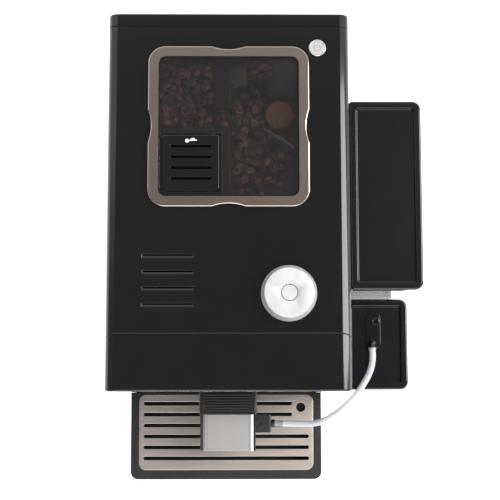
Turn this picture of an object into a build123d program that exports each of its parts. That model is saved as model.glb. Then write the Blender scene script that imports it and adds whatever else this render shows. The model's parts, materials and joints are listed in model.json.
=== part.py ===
"""A countertop bean to cup coffee machine with a side water tank and a milk container.

All sizes are in millimetres. The origin is on the worktop, under the middle of the machine's
outline. X runs to the right, Y to the back and Z up, with the drip tray at the front.
"""

import os
from math import pi, radians, tan

from build123d import *

os.makedirs("parts", exist_ok=True)

# Driving sizes of the whole machine
body_width = 268.6
body_depth = 420
body_height = 350
tank_gap = 1.9
tank_width = 81.7
tank_depth = 215.1
tray_overhang = 113
foot_height = 6
shell = 2.5

# Fits and running clearances
fit = 0.3
running_fit = 0.05
sliding_fit = 0.1
seam = 0.6
overrun = 3

# Outline of the body, from the driving sizes
overall_depth = body_depth + tray_overhang
body_x = -(tank_gap + tank_width) / 2
left = body_x - body_width / 2
right = body_x + body_width / 2
front = tray_overhang - overall_depth / 2
rear = overall_depth / 2
top = body_height


def keep(piece, name):
    """Labels a finished piece and writes it under its own name."""
    piece.part.label = name
    export_step(piece.part, f"parts/{name}.step")


def span(middle, size):
    """The two ends of a size laid about its middle."""
    return (middle - size / 2, middle + size / 2)


def grown(ends, amount):
    """The same span, longer by an amount at each end."""
    return (ends[0] - amount, ends[1] + amount)


def block(x, y, z, corner=0, mode=Mode.ADD):
    """An upright block between three spans, with its upright edges rounded."""
    with BuildSketch(Plane.XY.offset(z[0])) as outline:
        with Locations((sum(x) / 2, sum(y) / 2)):
            if corner:
                RectangleRounded(x[1] - x[0], y[1] - y[0], corner)
            else:
                Rectangle(x[1] - x[0], y[1] - y[0])
    extrude(outline.sketch, amount=z[1] - z[0], mode=mode)


def side_block(x, y, z, left_corner, right_corner, mode=Mode.ADD):
    """An upright block whose left and right upright edges have their own radii."""
    with BuildSketch(Plane.XY.offset(z[0])) as outline:
        with Locations((sum(x) / 2, sum(y) / 2)):
            Rectangle(x[1] - x[0], y[1] - y[0])
        fillet(outline.vertices().group_by(Axis.X)[0], left_corner)
        fillet(outline.vertices().group_by(Axis.X)[-1], right_corner)
    extrude(outline.sketch, amount=z[1] - z[0], mode=mode)


def funnel(x_low, y_low, x_high, y_high, z, corner_low, corner_high, mode=Mode.ADD):
    """A straight-sided funnel from one rounded rectangle up to another."""
    with BuildSketch(Plane.XY.offset(z[0])) as low:
        with Locations((sum(x_low) / 2, sum(y_low) / 2)):
            RectangleRounded(x_low[1] - x_low[0], y_low[1] - y_low[0], corner_low)
    with BuildSketch(Plane.XY.offset(z[1])) as high:
        with Locations((sum(x_high) / 2, sum(y_high) / 2)):
            RectangleRounded(x_high[1] - x_high[0], y_high[1] - y_high[0], corner_high)
    loft([low.sketch, high.sketch], ruled=True, mode=mode)


def drum(place, radius, z, mode=Mode.ADD):
    """An upright cylinder between two heights."""
    with BuildSketch(Plane.XY.offset(z[0])) as outline:
        with Locations(place):
            Circle(radius)
    extrude(outline.sketch, amount=z[1] - z[0], mode=mode)


def drum_along_y(x, z, radius, y, mode=Mode.ADD):
    """A cylinder that lies from front to back."""
    with BuildSketch(Plane.XZ.offset(-y[1])) as outline:
        with Locations((x, z)):
            Circle(radius)
    extrude(outline.sketch, amount=y[1] - y[0], mode=mode)


def drum_along_x(y, z, radius, x, mode=Mode.ADD):
    """A cylinder that lies from left to right."""
    with BuildSketch(Plane.YZ.offset(x[0])) as outline:
        with Locations((y, z)):
            Circle(radius)
    extrude(outline.sketch, amount=x[1] - x[0], mode=mode)


# Base pan and feet: a flat pan carries the panels, and the feet are pressed to its underside
base_thickness = 3
base_corner = 2
foot_radius = 12
foot_inset = 26
base_top = foot_height + base_thickness

tank_left = right + tank_gap
tank_right = tank_left + tank_width
tank_setback = 92.5
tank_back = rear - tank_setback
tank_front = tank_back - tank_depth
tank_x = (tank_left, tank_right)
tank_y = (tank_front, tank_back)
dock_height = 24
dock_y = tank_y

with BuildPart() as base_pan:
    block((left, right), (front, rear), (foot_height, base_top), base_corner)
keep(base_pan, "base_pan")

foot_places = [
    (x, y)
    for x in (left + foot_inset, right - foot_inset)
    for y in (front + foot_inset, rear - foot_inset)
]
dock_foot_inset = 30
foot_places += [
    (sum(tank_x) / 2, dock_y[0] + dock_foot_inset),
    (sum(tank_x) / 2, dock_y[1] - dock_foot_inset),
]
with BuildPart() as rubber_feet:
    for place in foot_places:
        drum(place, foot_radius, (0, foot_height))
keep(rubber_feet, "rubber_feet")

# Top cover, front hood and rear strip: one section with rolled side edges, cut into three lengths
edge_radius = 11
skirt = 24
hood_depth = 62
strip_depth = 15
seam_lean = 14
panel_edge = 2
skirt_low = top - skirt
hood_seam = front + hood_depth
strip_seam = rear - strip_depth


def cover_section(y, hollow_y):
    """A length of the cover: flat on top, rolled over at both sides, open below."""
    with BuildSketch(Plane.XZ.offset(-y[1])) as outer:
        with Locations((body_x, skirt_low)):
            RectangleRounded(body_width, 2 * skirt, edge_radius)
        with Locations((body_x, skirt_low - skirt / 2)):
            Rectangle(body_width, skirt, mode=Mode.SUBTRACT)
    extrude(outer.sketch, amount=y[1] - y[0])
    with BuildSketch(Plane.XZ.offset(-hollow_y[1])) as inner:
        with Locations((body_x, skirt_low)):
            RectangleRounded(body_width - 2 * shell, 2 * (skirt - shell), edge_radius - shell)
    extrude(inner.sketch, amount=hollow_y[1] - hollow_y[0], mode=Mode.SUBTRACT)


def trim_at_seam(shift, far_y):
    """Cuts the section away on one side of the seam, which leans forward as it goes down."""
    with BuildSketch(Plane.YZ.offset(left - overrun)) as wedge:
        with BuildLine():
            Polyline(
                (hood_seam + seam_lean + shift, top + skirt),
                (hood_seam - 2 * seam_lean + shift, top - 2 * skirt),
                (far_y, top - 2 * skirt),
                (far_y, top + skirt),
                close=True,
            )
        make_face()
    extrude(wedge.sketch, amount=body_width + 2 * overrun, mode=Mode.SUBTRACT)


# The controls and openings of the top cover
lid_width = 178.3
lid_depth = 180.1
lid_setback = 23.8
lid_lip = 9
lid_x = body_x
lid_y = strip_seam - lid_setback - lid_depth / 2
opening_x = span(lid_x, lid_width - 2 * lid_lip)
opening_y = span(lid_y, lid_depth - 2 * lid_lip)
opening_corner = 12

knob_radius = 30.5
knob_from_side = 68.6
knob_from_seam = 43.8
knob_place = (right - knob_from_side, hood_seam + knob_from_seam)
knob_tube_radius = 11
knob_tube_wall = 3.4

button_radius = 7.9
button_from_seam = 24.5
bezel_radius = 9.4
bezel_wall = 0.7
button_x = lid_x + lid_width / 2 + sliding_fit + bezel_radius
button_place = (button_x, strip_seam - button_from_seam)
bezel_bore = button_radius + sliding_fit
bezel_tube = bezel_bore + bezel_wall

vent_count = 4
vent_length = 57
vent_width = 5.2
vent_depth = 1.8
vent_slit = 1.4
vent_pitch = 17.9
vent_from_side = 68.1
vent_from_seam = 57.4
vent_x = span(left + vent_from_side, vent_length)


def louvre(x, y):
    """Cuts an air vent: a ramp that falls towards the back, and a slit at its foot."""
    with BuildSketch(Plane.YZ.offset(x[0])) as ramp:
        with BuildLine():
            Polyline((y[0], top), (y[1], top), (y[1], top - vent_depth), close=True)
        make_face()
    extrude(ramp.sketch, amount=x[1] - x[0], mode=Mode.SUBTRACT)
    block(grown(x, -vent_slit), (y[1] - vent_slit, y[1]), (top - shell, top), mode=Mode.SUBTRACT)


with BuildPart() as top_cover:
    cover_y_span = (hood_seam - seam_lean, strip_seam)
    cover_section(cover_y_span, grown(cover_y_span, overrun))
    trim_at_seam(seam, front)
    block(opening_x, opening_y, (skirt_low, top), opening_corner, Mode.SUBTRACT)
    first_vent_y = hood_seam + vent_from_seam - (vent_count - 1) * vent_pitch / 2
    for vent in range(vent_count):
        louvre(vent_x, span(first_vent_y + vent * vent_pitch, vent_width))
    drum(knob_place, knob_tube_radius + fit, (skirt_low, top), Mode.SUBTRACT)
    drum(button_place, bezel_tube + sliding_fit, (skirt_low, top), Mode.SUBTRACT)
keep(top_cover, "top_cover")

# Front hood: closes the front of the cover and carries the display. Its lower edge lies between
# the display and the mouth that the drip tray's drawer slides into.
mouth_top = 104
display_width = 150
display_height = 72
display_from_top = 38
chin_share = 0.185
display_x = span(body_x, display_width)
display_z = (top - display_from_top - display_height, top - display_from_top)
display_corner = 6
hood_low = display_z[0] - chin_share * (display_z[0] - mouth_top)

with BuildPart() as front_hood:
    cover_section((front, hood_seam), (front + shell, hood_seam + overrun))
    trim_at_seam(0, strip_seam)
    block((left, right), (front, front + shell), (hood_low, skirt_low))
    outline_edges = front_hood.faces().sort_by(Axis.Y)[0].edges().sort_by(Axis.Z)[1:]
    fillet(outline_edges, panel_edge)
    with BuildSketch(Plane.XZ.offset(-front)) as window:
        with Locations((body_x, sum(display_z) / 2)):
            RectangleRounded(display_width, display_height, display_corner)
    extrude(window.sketch, amount=-shell, mode=Mode.SUBTRACT)
keep(front_hood, "front_hood")

display_board_margin = 8
display_board_thickness = 4
display_board_y = (front + shell, front + shell + display_board_thickness)
with BuildPart() as display_window:
    with BuildSketch(Plane.XZ.offset(-front)) as pane:
        with Locations((body_x, sum(display_z) / 2)):
            RectangleRounded(display_width - 2 * fit, display_height - 2 * fit, display_corner - fit)
    extrude(pane.sketch, amount=-shell)
keep(display_window, "display_window")

with BuildPart() as control_board:
    block(
        grown(display_x, display_board_margin),
        display_board_y,
        grown(display_z, display_board_margin),
    )
keep(control_board, "control_board")

# Rear strip, side panels and rear panel
with BuildPart() as rear_strip:
    cover_section((strip_seam + seam, rear), (strip_seam - overrun, rear - shell))
    strip_edges = rear_strip.faces().sort_by(Axis.Y)[-1].edges().sort_by(Axis.Z)[1:]
    fillet(strip_edges, panel_edge)
keep(rear_strip, "rear_strip")

side_y = (front + shell, rear - shell)
side_z = (base_top, skirt_low - seam)
spigot_radius = 5
valve_setback = 30
valve_place = (tank_left + valve_setback / 2, tank_back - valve_setback)
valve_axis_z = foot_height + dock_height / 2

with BuildPart() as left_panel:
    block((left, left + shell), side_y, side_z)
keep(left_panel, "left_panel")

with BuildPart() as right_panel:
    block((right - shell, right), side_y, side_z)
    drum_along_x(valve_place[1], valve_axis_z, spigot_radius + fit, (right - shell, right), Mode.SUBTRACT)
keep(right_panel, "right_panel")

grille_slot = 56
grille_gap = 3
grille_rows = 9
grille_pitch = 9
grille_columns = 2
grille_from_top = 105
grille_z = top - grille_from_top
inlet_width = 27
inlet_height = 20
inlet_lip = 5
inlet_depth = 24
inlet_from_side = 55
inlet_x = left + inlet_from_side
inlet_z = 45
inlet_lip_thickness = 1.5
with BuildPart() as rear_panel:
    block((left, right), (rear - shell, rear), side_z)
    panel_edges = rear_panel.faces().sort_by(Axis.Y)[-1].edges().filter_by(Axis.Z)
    fillet(panel_edges, panel_edge)
    with BuildSketch(Plane.XZ.offset(-rear)) as grille:
        with Locations((body_x, grille_z)):
            with GridLocations(grille_slot + inlet_width, grille_pitch, grille_columns, grille_rows):
                SlotOverall(grille_slot, grille_gap)
        with Locations((inlet_x, inlet_z)):
            Rectangle(inlet_width + 2 * fit, inlet_height + 2 * fit)
    extrude(grille.sketch, amount=shell, mode=Mode.SUBTRACT)
keep(rear_panel, "rear_panel")

# Mains inlet: a socket body in the rear panel, with its flange against the panel's inside
inlet_wall = 2.5
pin_radius = 1.2
pin_pitch = 7
pin_length = 16
inlet_x_span = span(inlet_x, inlet_width)
inlet_z_span = span(inlet_z, inlet_height)
with BuildPart() as mains_inlet:
    block(inlet_x_span, (rear - inlet_depth, rear), inlet_z_span)
    block(
        grown(inlet_x_span, inlet_lip),
        (rear - shell - inlet_lip_thickness, rear - shell),
        grown(inlet_z_span, inlet_lip),
    )
    block(
        grown(inlet_x_span, -inlet_wall),
        (rear - inlet_depth + inlet_wall, rear),
        grown(inlet_z_span, -inlet_wall),
        mode=Mode.SUBTRACT,
    )
    for pin in (-1, 0, 1):
        pin_y = (rear - inlet_depth, rear - inlet_depth + pin_length)
        drum_along_y(inlet_x + pin * pin_pitch, inlet_z, pin_radius, pin_y)
keep(mains_inlet, "mains_inlet")

# Tray bay: the mouth in the lower front, and the shelf that closes it from above
tray_inset = 9.8
drawer_inset = 15.3
tray_width = body_width - 2 * tray_inset
tray_shift = -5.2
tray_drawer_width = body_width - 2 * drawer_inset
tray_x = body_x + tray_shift
drawer_x = span(tray_x, tray_drawer_width)
mouth_x = grown(drawer_x, seam)
shelf_z = 140
shelf_thickness = 2.5

# Fascia: the lower front, with a slot for the spout's tongue
tongue_width = 18
spout_shift = -1.8
spout_x = body_x + spout_shift
tongue_slot_x = span(spout_x, tongue_width + 2 * sliding_fit)
guide_drop = 6.84
guide_high = hood_low - guide_drop
guide_width = 60
guide_depth = 9
fascia_top = hood_low - seam
with BuildPart() as front_panel:
    block((left, right), (front, front + shell), (base_top, fascia_top))
    fillet(front_panel.faces().sort_by(Axis.Y)[0].edges().filter_by(Axis.Z), panel_edge)
    block(mouth_x, (front, front + shell), (base_top, mouth_top), mode=Mode.SUBTRACT)
    block(tongue_slot_x, (front, front + shell), (mouth_top, guide_high), mode=Mode.SUBTRACT)
keep(front_panel, "front_panel")

with BuildPart() as spout_guide:
    guide_y = (front + shell, front + shell + guide_depth)
    block(span(spout_x, guide_width), guide_y, (mouth_top, guide_high))
    block(tongue_slot_x, guide_y, (mouth_top, guide_high), mode=Mode.SUBTRACT)
    block(
        span(spout_x, guide_width),
        (guide_y[1], guide_y[1] + shell),
        (mouth_top, guide_high),
    )
keep(spout_guide, "spout_guide")

# Inner shelf: carries the boiler, the grinder motor and the boards
inner_x = (left + shell, right - shell)
shelf_y = (front + shell + guide_depth + shell, rear - shell)
shelf_cut_margin = 2
brew_width = 90
brew_depth = 84
brew_drop = 88
brew_top = top - brew_drop
brew_shift = 2
brew_setback = 224
brew_place = (body_x - brew_shift, front + brew_setback)
brew_x = span(brew_place[0], brew_width)
brew_y = span(brew_place[1], brew_depth)
pipe_radius = 4
boiler_width = 50
boiler_depth = 90
boiler_height = 88
boiler_from_side = 18
boiler_from_rear = 116
boiler_x = (left + boiler_from_side, left + boiler_from_side + boiler_width)
boiler_y = (rear - boiler_from_rear, rear - boiler_from_rear + boiler_depth)
riser_place = (sum(boiler_x) / 2, boiler_y[0] + boiler_depth / 3)
bin_depth = 160
bin_setback = 16
bin_y = (front + bin_setback, front + bin_setback + bin_depth)
with BuildPart() as inner_shelf:
    block(inner_x, shelf_y, (shelf_z, shelf_z + shelf_thickness))
    shelf_cut = (grown(brew_x, shelf_cut_margin), grown(brew_y, shelf_cut_margin))
    block(*shelf_cut, (shelf_z, shelf_z + shelf_thickness), mode=Mode.SUBTRACT)
    drum(riser_place, pipe_radius + fit, (shelf_z, shelf_z + shelf_thickness), Mode.SUBTRACT)
keep(inner_shelf, "inner_shelf")

# Drip tray: a basin in front of the body, and a drawer behind it that carries the grounds bin
tray_wall = 2.5
tray_corner = 10
tray_top = 62
tray_low = base_top + fit
tray_floor = tray_low + tray_wall
tray_front_y = -overall_depth / 2
basin_back = front - seam
drawer_back = bin_y[1] + tray_wall + seam
drawer_top = 50
tray_x_span = span(tray_x, tray_width)
grid_inset = 10.4
grid_width = tray_width - 2 * grid_inset
grid_depth = 97.7
grid_thickness = 1.4
grid_corner = 9
grid_from_back = 2.8
grid_ledge = 4
rim_thickness = 5
grid_x = span(tray_x, grid_width)
grid_y = (basin_back - grid_from_back - grid_depth, basin_back - grid_from_back)
closing_y = (front + fit, front + fit + tray_wall)
closing_top = mouth_top - seam
finger_hole_radius = 6
finger_hole_inset = 16.4
finger_hole_place = (grid_x[1] - finger_hole_inset, grid_y[1] - finger_hole_inset)
float_foot_height = 8
float_post_radius = 2
float_drop = 12
float_high = tray_top - float_drop
post_high = float_high - float_foot_height
with BuildPart() as drip_tray:
    basin_y = (tray_front_y, basin_back)
    block(tray_x_span, basin_y, (tray_low, tray_top))
    fillet(drip_tray.edges().filter_by(Axis.Z).group_by(Axis.Y)[0], tray_corner)
    block(drawer_x, (basin_back, drawer_back), (tray_low, drawer_top))
    block(drawer_x, closing_y, (drawer_top, closing_top))
    basin_hollow = (grown(tray_x_span, -tray_wall), grown(basin_y, -tray_wall))
    hollow_corner = tray_corner - tray_wall
    block(*basin_hollow, (tray_floor, tray_top - rim_thickness), hollow_corner, Mode.SUBTRACT)
    block(
        grown(grid_x, -grid_ledge),
        grown(grid_y, -grid_ledge),
        (tray_floor, tray_top),
        grid_corner - grid_ledge,
        Mode.SUBTRACT,
    )
    seat_z = (tray_top - grid_thickness - fit, tray_top)
    block(grown(grid_x, fit), grown(grid_y, fit), seat_z, grid_corner + fit, Mode.SUBTRACT)
    drawer_hollow_y = (closing_y[1], drawer_back - tray_wall)
    block(grown(drawer_x, -tray_wall), drawer_hollow_y, (tray_floor, drawer_top), mode=Mode.SUBTRACT)
    drum(finger_hole_place, float_post_radius, (tray_low, post_high))
keep(drip_tray, "drip_tray")

# Drip grid: a stainless plate with six rows of slots and a finger hole
slot_rows = 6
slot_pitch = 14.2
slot_width = 4.6
slot_inset = 6
first_slot_from_back = 11.5
short_slot_by = 21.8
short_rows = 2
grid_edge = 0.5
with BuildPart() as drip_grid:
    grid_z = (tray_top - grid_thickness, tray_top)
    block(grid_x, grid_y, grid_z, grid_corner)
    fillet(drip_grid.faces().sort_by(Axis.Z)[-1].edges(), grid_edge)
    for row in range(slot_rows):
        cut_back = short_slot_by if row < short_rows else 0
        slot_length = grid_width - 2 * slot_inset - cut_back
        with BuildSketch(Plane.XY.offset(grid_z[0])) as slot:
            slot_y = grid_y[1] - first_slot_from_back - row * slot_pitch
            with Locations((tray_x - cut_back / 2, slot_y)):
                SlotOverall(slot_length, slot_width)
        extrude(slot.sketch, amount=grid_thickness, mode=Mode.SUBTRACT)
    drum(finger_hole_place, finger_hole_radius, grid_z, Mode.SUBTRACT)
keep(drip_grid, "drip_grid")

# Float: rides up its post and shows in the finger hole when the basin is full
float_radius = 5.4
float_foot_radius = 11
float_post_bore = float_post_radius + sliding_fit
float_low = tray_floor + fit
with BuildPart() as drip_float:
    drum(finger_hole_place, float_radius, (float_low, float_high))
    drum(finger_hole_place, float_foot_radius, (float_low, float_low + float_foot_height))
    drum(finger_hole_place, float_post_bore, (float_low, post_high + fit), Mode.SUBTRACT)
keep(drip_float, "drip_float")

# Grounds bin: an open box that stands in the drawer
bin_width = 170
bin_wall = 2
bin_corner = 10
bin_top = 92
bin_low = tray_floor + fit
bin_x = span(tray_x, bin_width)
with BuildPart() as grounds_bin:
    block(bin_x, bin_y, (bin_low, bin_top), bin_corner)
    bin_hollow = (grown(bin_x, -bin_wall), grown(bin_y, -bin_wall))
    block(*bin_hollow, (bin_low + bin_wall, bin_top), bin_corner - bin_wall, Mode.SUBTRACT)
keep(grounds_bin, "grounds_bin")

# Spout carriage: a ribbed black block whose tongue slides in the fascia's slot
carriage_width = 69.6
carriage_depth = 27
carriage_edge = 3
tongue_height = 28
tongue_above_middle = 8
tongue_above_low = 10
tongue_below_high = 12
tongue_z = span((mouth_top + guide_high) / 2 + tongue_above_middle, tongue_height)
carriage_z = (tongue_z[0] - tongue_above_low, tongue_z[1] + tongue_below_high)
tongue_reach = 8
rib_count = 8
rib_pitch = 3.2
rib_width = 1.4
rib_height = 0.9
rib_margin = 7
carriage_x = span(spout_x, carriage_width)
carriage_y = (front - fit - carriage_depth, front - fit)
with BuildPart() as spout_carriage:
    block(carriage_x, carriage_y, carriage_z)
    side_edges = spout_carriage.edges().filter_by(Axis.Y).group_by(Axis.Z)[-1]
    fillet(side_edges, carriage_edge)
    block(span(spout_x, tongue_width), (carriage_y[1], front + tongue_reach), tongue_z)
    rib_field_x = grown(carriage_x, -rib_margin)
    rib_field_z = (carriage_z[1] - rib_height, carriage_z[1])
    block(rib_field_x, carriage_y, rib_field_z, mode=Mode.SUBTRACT)
    for rib in range(rib_count):
        rib_y = carriage_y[0] + rib_pitch / 2 + rib * rib_pitch
        block(rib_field_x, span(rib_y, rib_width), rib_field_z)
keep(spout_carriage, "spout_carriage")

# Spout cover: a folded metal sleeve with rolled top edges, open below and behind
cover_width = 66.8
cover_depth = 43.4
cover_wall = 1.2
cover_roll = 6
cover_lift = 6
cover_z = (carriage_z[0] + cover_lift, carriage_z[1])
cover_x = span(spout_x, cover_width)
cover_y = (carriage_y[0] - cover_depth, carriage_y[0])
with BuildPart() as spout_cover:
    block(cover_x, cover_y, cover_z)
    roll_edges = spout_cover.edges().filter_by(Axis.Y).group_by(Axis.Z)[-1]
    fillet(roll_edges, cover_roll)
    inner_top = cover_z[1] - cover_wall
    with BuildSketch(Plane.XZ.offset(-cover_y[1])) as inner:
        with Locations((spout_x, cover_z[0])):
            inner_width = cover_width - 2 * cover_wall
            RectangleRounded(inner_width, 2 * (inner_top - cover_z[0]), cover_roll - cover_wall)
    extrude(inner.sketch, amount=cover_depth - cover_wall, mode=Mode.SUBTRACT)
keep(spout_cover, "spout_cover")

# Outlet block: fills the sleeve and ends in two coffee nozzles and a milk nozzle
nozzle_radius = 5
nozzle_bore = 2.2
nozzle_pitch = 28
nozzle_drop = 14
milk_nozzle_radius = 6.5
milk_nozzle_drop = 6
outlet_drop = 2
outlet_z = (cover_z[0] - outlet_drop, cover_z[1] - cover_wall - cover_roll)
outlet_x = grown(cover_x, -cover_wall - fit)
outlet_y = (cover_y[0] + cover_wall + fit, cover_y[1])
nozzle_y = sum(cover_y) / 2
with BuildPart() as outlet_block:
    block(outlet_x, outlet_y, outlet_z)
    for side in (-1, 1):
        place = (spout_x + side * nozzle_pitch / 2, nozzle_y)
        drum(place, nozzle_radius, (outlet_z[0] - nozzle_drop, outlet_z[0]))
        drum(place, nozzle_bore, (outlet_z[0] - nozzle_drop, outlet_z[0]), Mode.SUBTRACT)
    drum((spout_x, nozzle_y), milk_nozzle_radius, (outlet_z[0] - milk_nozzle_drop, outlet_z[0]))
keep(outlet_block, "outlet_block")

# Milk connector: plugs into the sleeve's side and takes the hose on a barb
connector_width = 18.4
connector_depth = 21.6
connector_height = 20
connector_drop = 2
connector_x = (cover_x[1], cover_x[1] + connector_width)
connector_y = (cover_y[1] - connector_depth, cover_y[1])
connector_high = cover_z[1] - connector_drop
connector_z = (connector_high - connector_height, connector_high)
connector_edge = 2
dimple_radius = 2.6
dimple_depth = 0.8
hose_diameter = 7.6
barb_length = 1.8
barb_lift = 12
hose_axis_y = sum(connector_y) / 2
hose_axis_z = connector_z[0] + barb_lift
with BuildPart() as milk_connector:
    block(connector_x, connector_y, connector_z)
    fillet(milk_connector.faces().sort_by(Axis.X)[-1].edges(), connector_edge)
    dimple_place = (connector_x[0] + connector_edge + dimple_radius, hose_axis_y)
    drum(dimple_place, dimple_radius, (connector_z[1] - dimple_depth, connector_z[1]), Mode.SUBTRACT)
    barb_x = (connector_x[1], connector_x[1] + barb_length)
    drum_along_x(hose_axis_y, hose_axis_z, hose_diameter / 2, barb_x)
keep(milk_connector, "milk_connector")

# Bean lid frame: a bronze-coloured metal band with a finger notch in each side
frame_thickness = 4
frame_band = 11.4
frame_corner = 19
window_corner = 8.5
frame_edge = 1
notch_length = 37
notch_depth = 3.3
frame_low = top + fit
frame_high = frame_low + frame_thickness
lid_outer_x = span(lid_x, lid_width)
lid_outer_y = span(lid_y, lid_depth)
window_x = grown(lid_outer_x, -frame_band)
window_y = grown(lid_outer_y, -frame_band)
notch_radius = ((notch_length / 2) ** 2 + notch_depth**2) / (2 * notch_depth)
notch_out = notch_radius - notch_depth
with BuildPart() as lid_frame:
    block(lid_outer_x, lid_outer_y, (frame_low, frame_high), frame_corner)
    for place in (
        (lid_outer_x[0] - notch_out, lid_y),
        (lid_outer_x[1] + notch_out, lid_y),
        (lid_x, lid_outer_y[0] - notch_out),
        (lid_x, lid_outer_y[1] + notch_out),
    ):
        drum(place, notch_radius, (frame_low, frame_high), Mode.SUBTRACT)
    fillet(lid_frame.faces().sort_by(Axis.Z)[-1].edges(), frame_edge)
    block(window_x, window_y, (frame_low, frame_high), window_corner, Mode.SUBTRACT)
keep(lid_frame, "lid_frame")

# Powder flap: a grooved lid in the window's front left corner, hinged at its back edge
flap_width = 61.2
flap_depth = 63
flap_inset_x = 5.7
flap_inset_y = 5.8
flap_corner = 4
flap_thickness = 3
flap_x = (window_x[0] + flap_inset_x, window_x[0] + flap_inset_x + flap_width)
flap_y = (window_y[0] + flap_inset_y, window_y[0] + flap_inset_y + flap_depth)
flap_ledge = 2
flap_low = frame_low + fit
flap_high = flap_low + flap_thickness
hinge_radius = flap_thickness / 2
hinge_y = flap_y[1] - hinge_radius
hinge_z = flap_low + hinge_radius
hinge_pin_radius = 0.8
hinge_pin_reach = 2
grip_count = 4
grip_length = 45
grip_width = 3.4
grip_depth = 1.6
grip_pitch = 12
grip_from_front = 13.9
with BuildPart() as powder_flap:
    block(flap_x, (flap_y[0], hinge_y), (flap_low, flap_high))
    fillet(powder_flap.edges().filter_by(Axis.Z).group_by(Axis.Y)[0], flap_corner)
    drum_along_x(hinge_y, hinge_z, hinge_radius, flap_x)
    drum_along_x(hinge_y, hinge_z, hinge_pin_radius, grown(flap_x, hinge_pin_reach))
    with BuildSketch(Plane.XY.offset(flap_high)) as grips:
        grips_y = flap_y[0] + grip_from_front + (grip_count - 1) * grip_pitch / 2
        with Locations((sum(flap_x) / 2, grips_y)):
            with GridLocations(grip_length, grip_pitch, 1, grip_count):
                SlotOverall(grip_length, grip_width)
    extrude(grips.sketch, amount=-grip_depth, mode=Mode.SUBTRACT)
keep(powder_flap, "powder_flap")

# Lid base: a black frame that drops into the opening, seats the window and holds the flap's pins
base_clearance = 1
base_drop = 9
base_ledge = 2
lug_width = 3
lid_base_x = grown(opening_x, -base_clearance)
lid_base_y = grown(opening_y, -base_clearance)
lid_base_z = (frame_low - base_drop, frame_low)
lid_base_corner = opening_corner - base_clearance
flap_hole_x = grown(flap_x, -flap_ledge)
flap_hole_y = (flap_y[0] + flap_ledge, hinge_y - hinge_radius - fit)
lugs_x = grown(flap_x, fit + lug_width)
lug_y = (hinge_y - hinge_radius, flap_y[1])
with BuildPart() as lid_base:
    block(lid_base_x, lid_base_y, lid_base_z, lid_base_corner)
    base_hole = (grown(window_x, -base_ledge), grown(window_y, -base_ledge))
    block(*base_hole, lid_base_z, window_corner, Mode.SUBTRACT)
    flap_frame_x = (base_hole[0][0], lugs_x[1])
    flap_frame_y = (base_hole[1][0], flap_y[1] + flap_ledge)
    block(flap_frame_x, flap_frame_y, lid_base_z)
    block(flap_hole_x, flap_hole_y, lid_base_z, mode=Mode.SUBTRACT)
    for lug_x in ((lugs_x[0], lugs_x[0] + lug_width), (lugs_x[1] - lug_width, lugs_x[1])):
        block(lug_x, lug_y, (frame_low, flap_high))
    pin_bore_x = grown(flap_x, hinge_pin_reach + fit)
    drum_along_x(hinge_y, hinge_z, hinge_pin_radius + running_fit, pin_bore_x, Mode.SUBTRACT)
keep(lid_base, "lid_base")

# Lid window: smoked, with a corner cut out for the flap and its lugs
pane_thickness = 2.5
pane_clearance = 0.3
pane_z = (frame_low, frame_low + pane_thickness)
with BuildPart() as lid_window:
    pane = (grown(window_x, -pane_clearance), grown(window_y, -pane_clearance))
    block(*pane, pane_z, window_corner - pane_clearance)
    block(grown(lugs_x, seam), grown(flap_y, seam), pane_z, mode=Mode.SUBTRACT)
keep(lid_window, "lid_window")

# Lid seal: a rubber ring round the lid base, inside the opening
seal_lip = 0.6
seal_height = 2
seal_z = (top - shell, top - shell + seal_height)
with BuildPart() as lid_seal:
    seal_x = grown(lid_base_x, seal_lip)
    seal_y = grown(lid_base_y, seal_lip)
    block(seal_x, seal_y, seal_z, lid_base_corner + seal_lip)
    block(lid_base_x, lid_base_y, seal_z, lid_base_corner, Mode.SUBTRACT)
keep(lid_seal, "lid_seal")

# Bean hopper: hangs under the cover, with an L of bean space round the powder chute
hopper_wall = 2
hopper_flange = 6
hopper_gap = 1
hopper_top = top - shell
hopper_ledge_drop = 14
hopper_ledge_z = top - hopper_ledge_drop
throat_radius = 15
throat_from_right = 20.5
throat_from_back = 57.5
throat_drop = 52
throat_length = 6
throat_low = top - throat_drop
throat_high = throat_low + throat_length
sump_size = 38
arm_drop = 8
arm_fall = 18
divider_width = 17
divider_depth = 58
hopper_inner_x = grown(opening_x, hopper_gap)
hopper_inner_y = grown(opening_y, hopper_gap)
throat_place = (window_x[1] - throat_from_right, window_y[1] - throat_from_back)
chute_bay_gap_x = 12
chute_bay_gap_y = 10
housing_x = flap_x[1] + chute_bay_gap_x
housing_y = flap_y[1] + chute_bay_gap_y
bay_x = (housing_x, hopper_inner_x[1])
sump_x = span(throat_place[0], sump_size)
sump_y = span(throat_place[1], sump_size)
chute_clearance = 0.5
chute_wall = 1.6
chute_corner = 5
chute_x = grown(flap_hole_x, chute_wall)
chute_y = grown(flap_hole_y, chute_wall)


def bean_arm(end_x, y, wall, mode):
    """A trough from the hopper's left wall to a place on the right, whose floor falls that way."""
    start_x = hopper_inner_x[0]
    fall = arm_fall * (end_x - start_x) / (sump_x[0] - start_x)
    with BuildSketch(Plane.XZ.offset(-y[1] - wall)) as side:
        with BuildLine():
            Polyline(
                (start_x - wall, hopper_ledge_z),
                (start_x - wall, hopper_ledge_z - arm_drop - wall),
                (end_x + wall, hopper_ledge_z - arm_drop - fall - wall),
                (end_x + wall, hopper_ledge_z),
                close=True,
            )
        make_face()
    extrude(side.sketch, amount=y[1] - y[0] + 2 * wall, mode=mode)


# The rear arm ends at a divider, and the trough in front of it runs on to the sump
divider_y = hopper_inner_y[1] - divider_depth
rear_arm = (housing_x - divider_width, (divider_y, hopper_inner_y[1]))
front_trough = (sump_x[0], (housing_y, divider_y))


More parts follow.
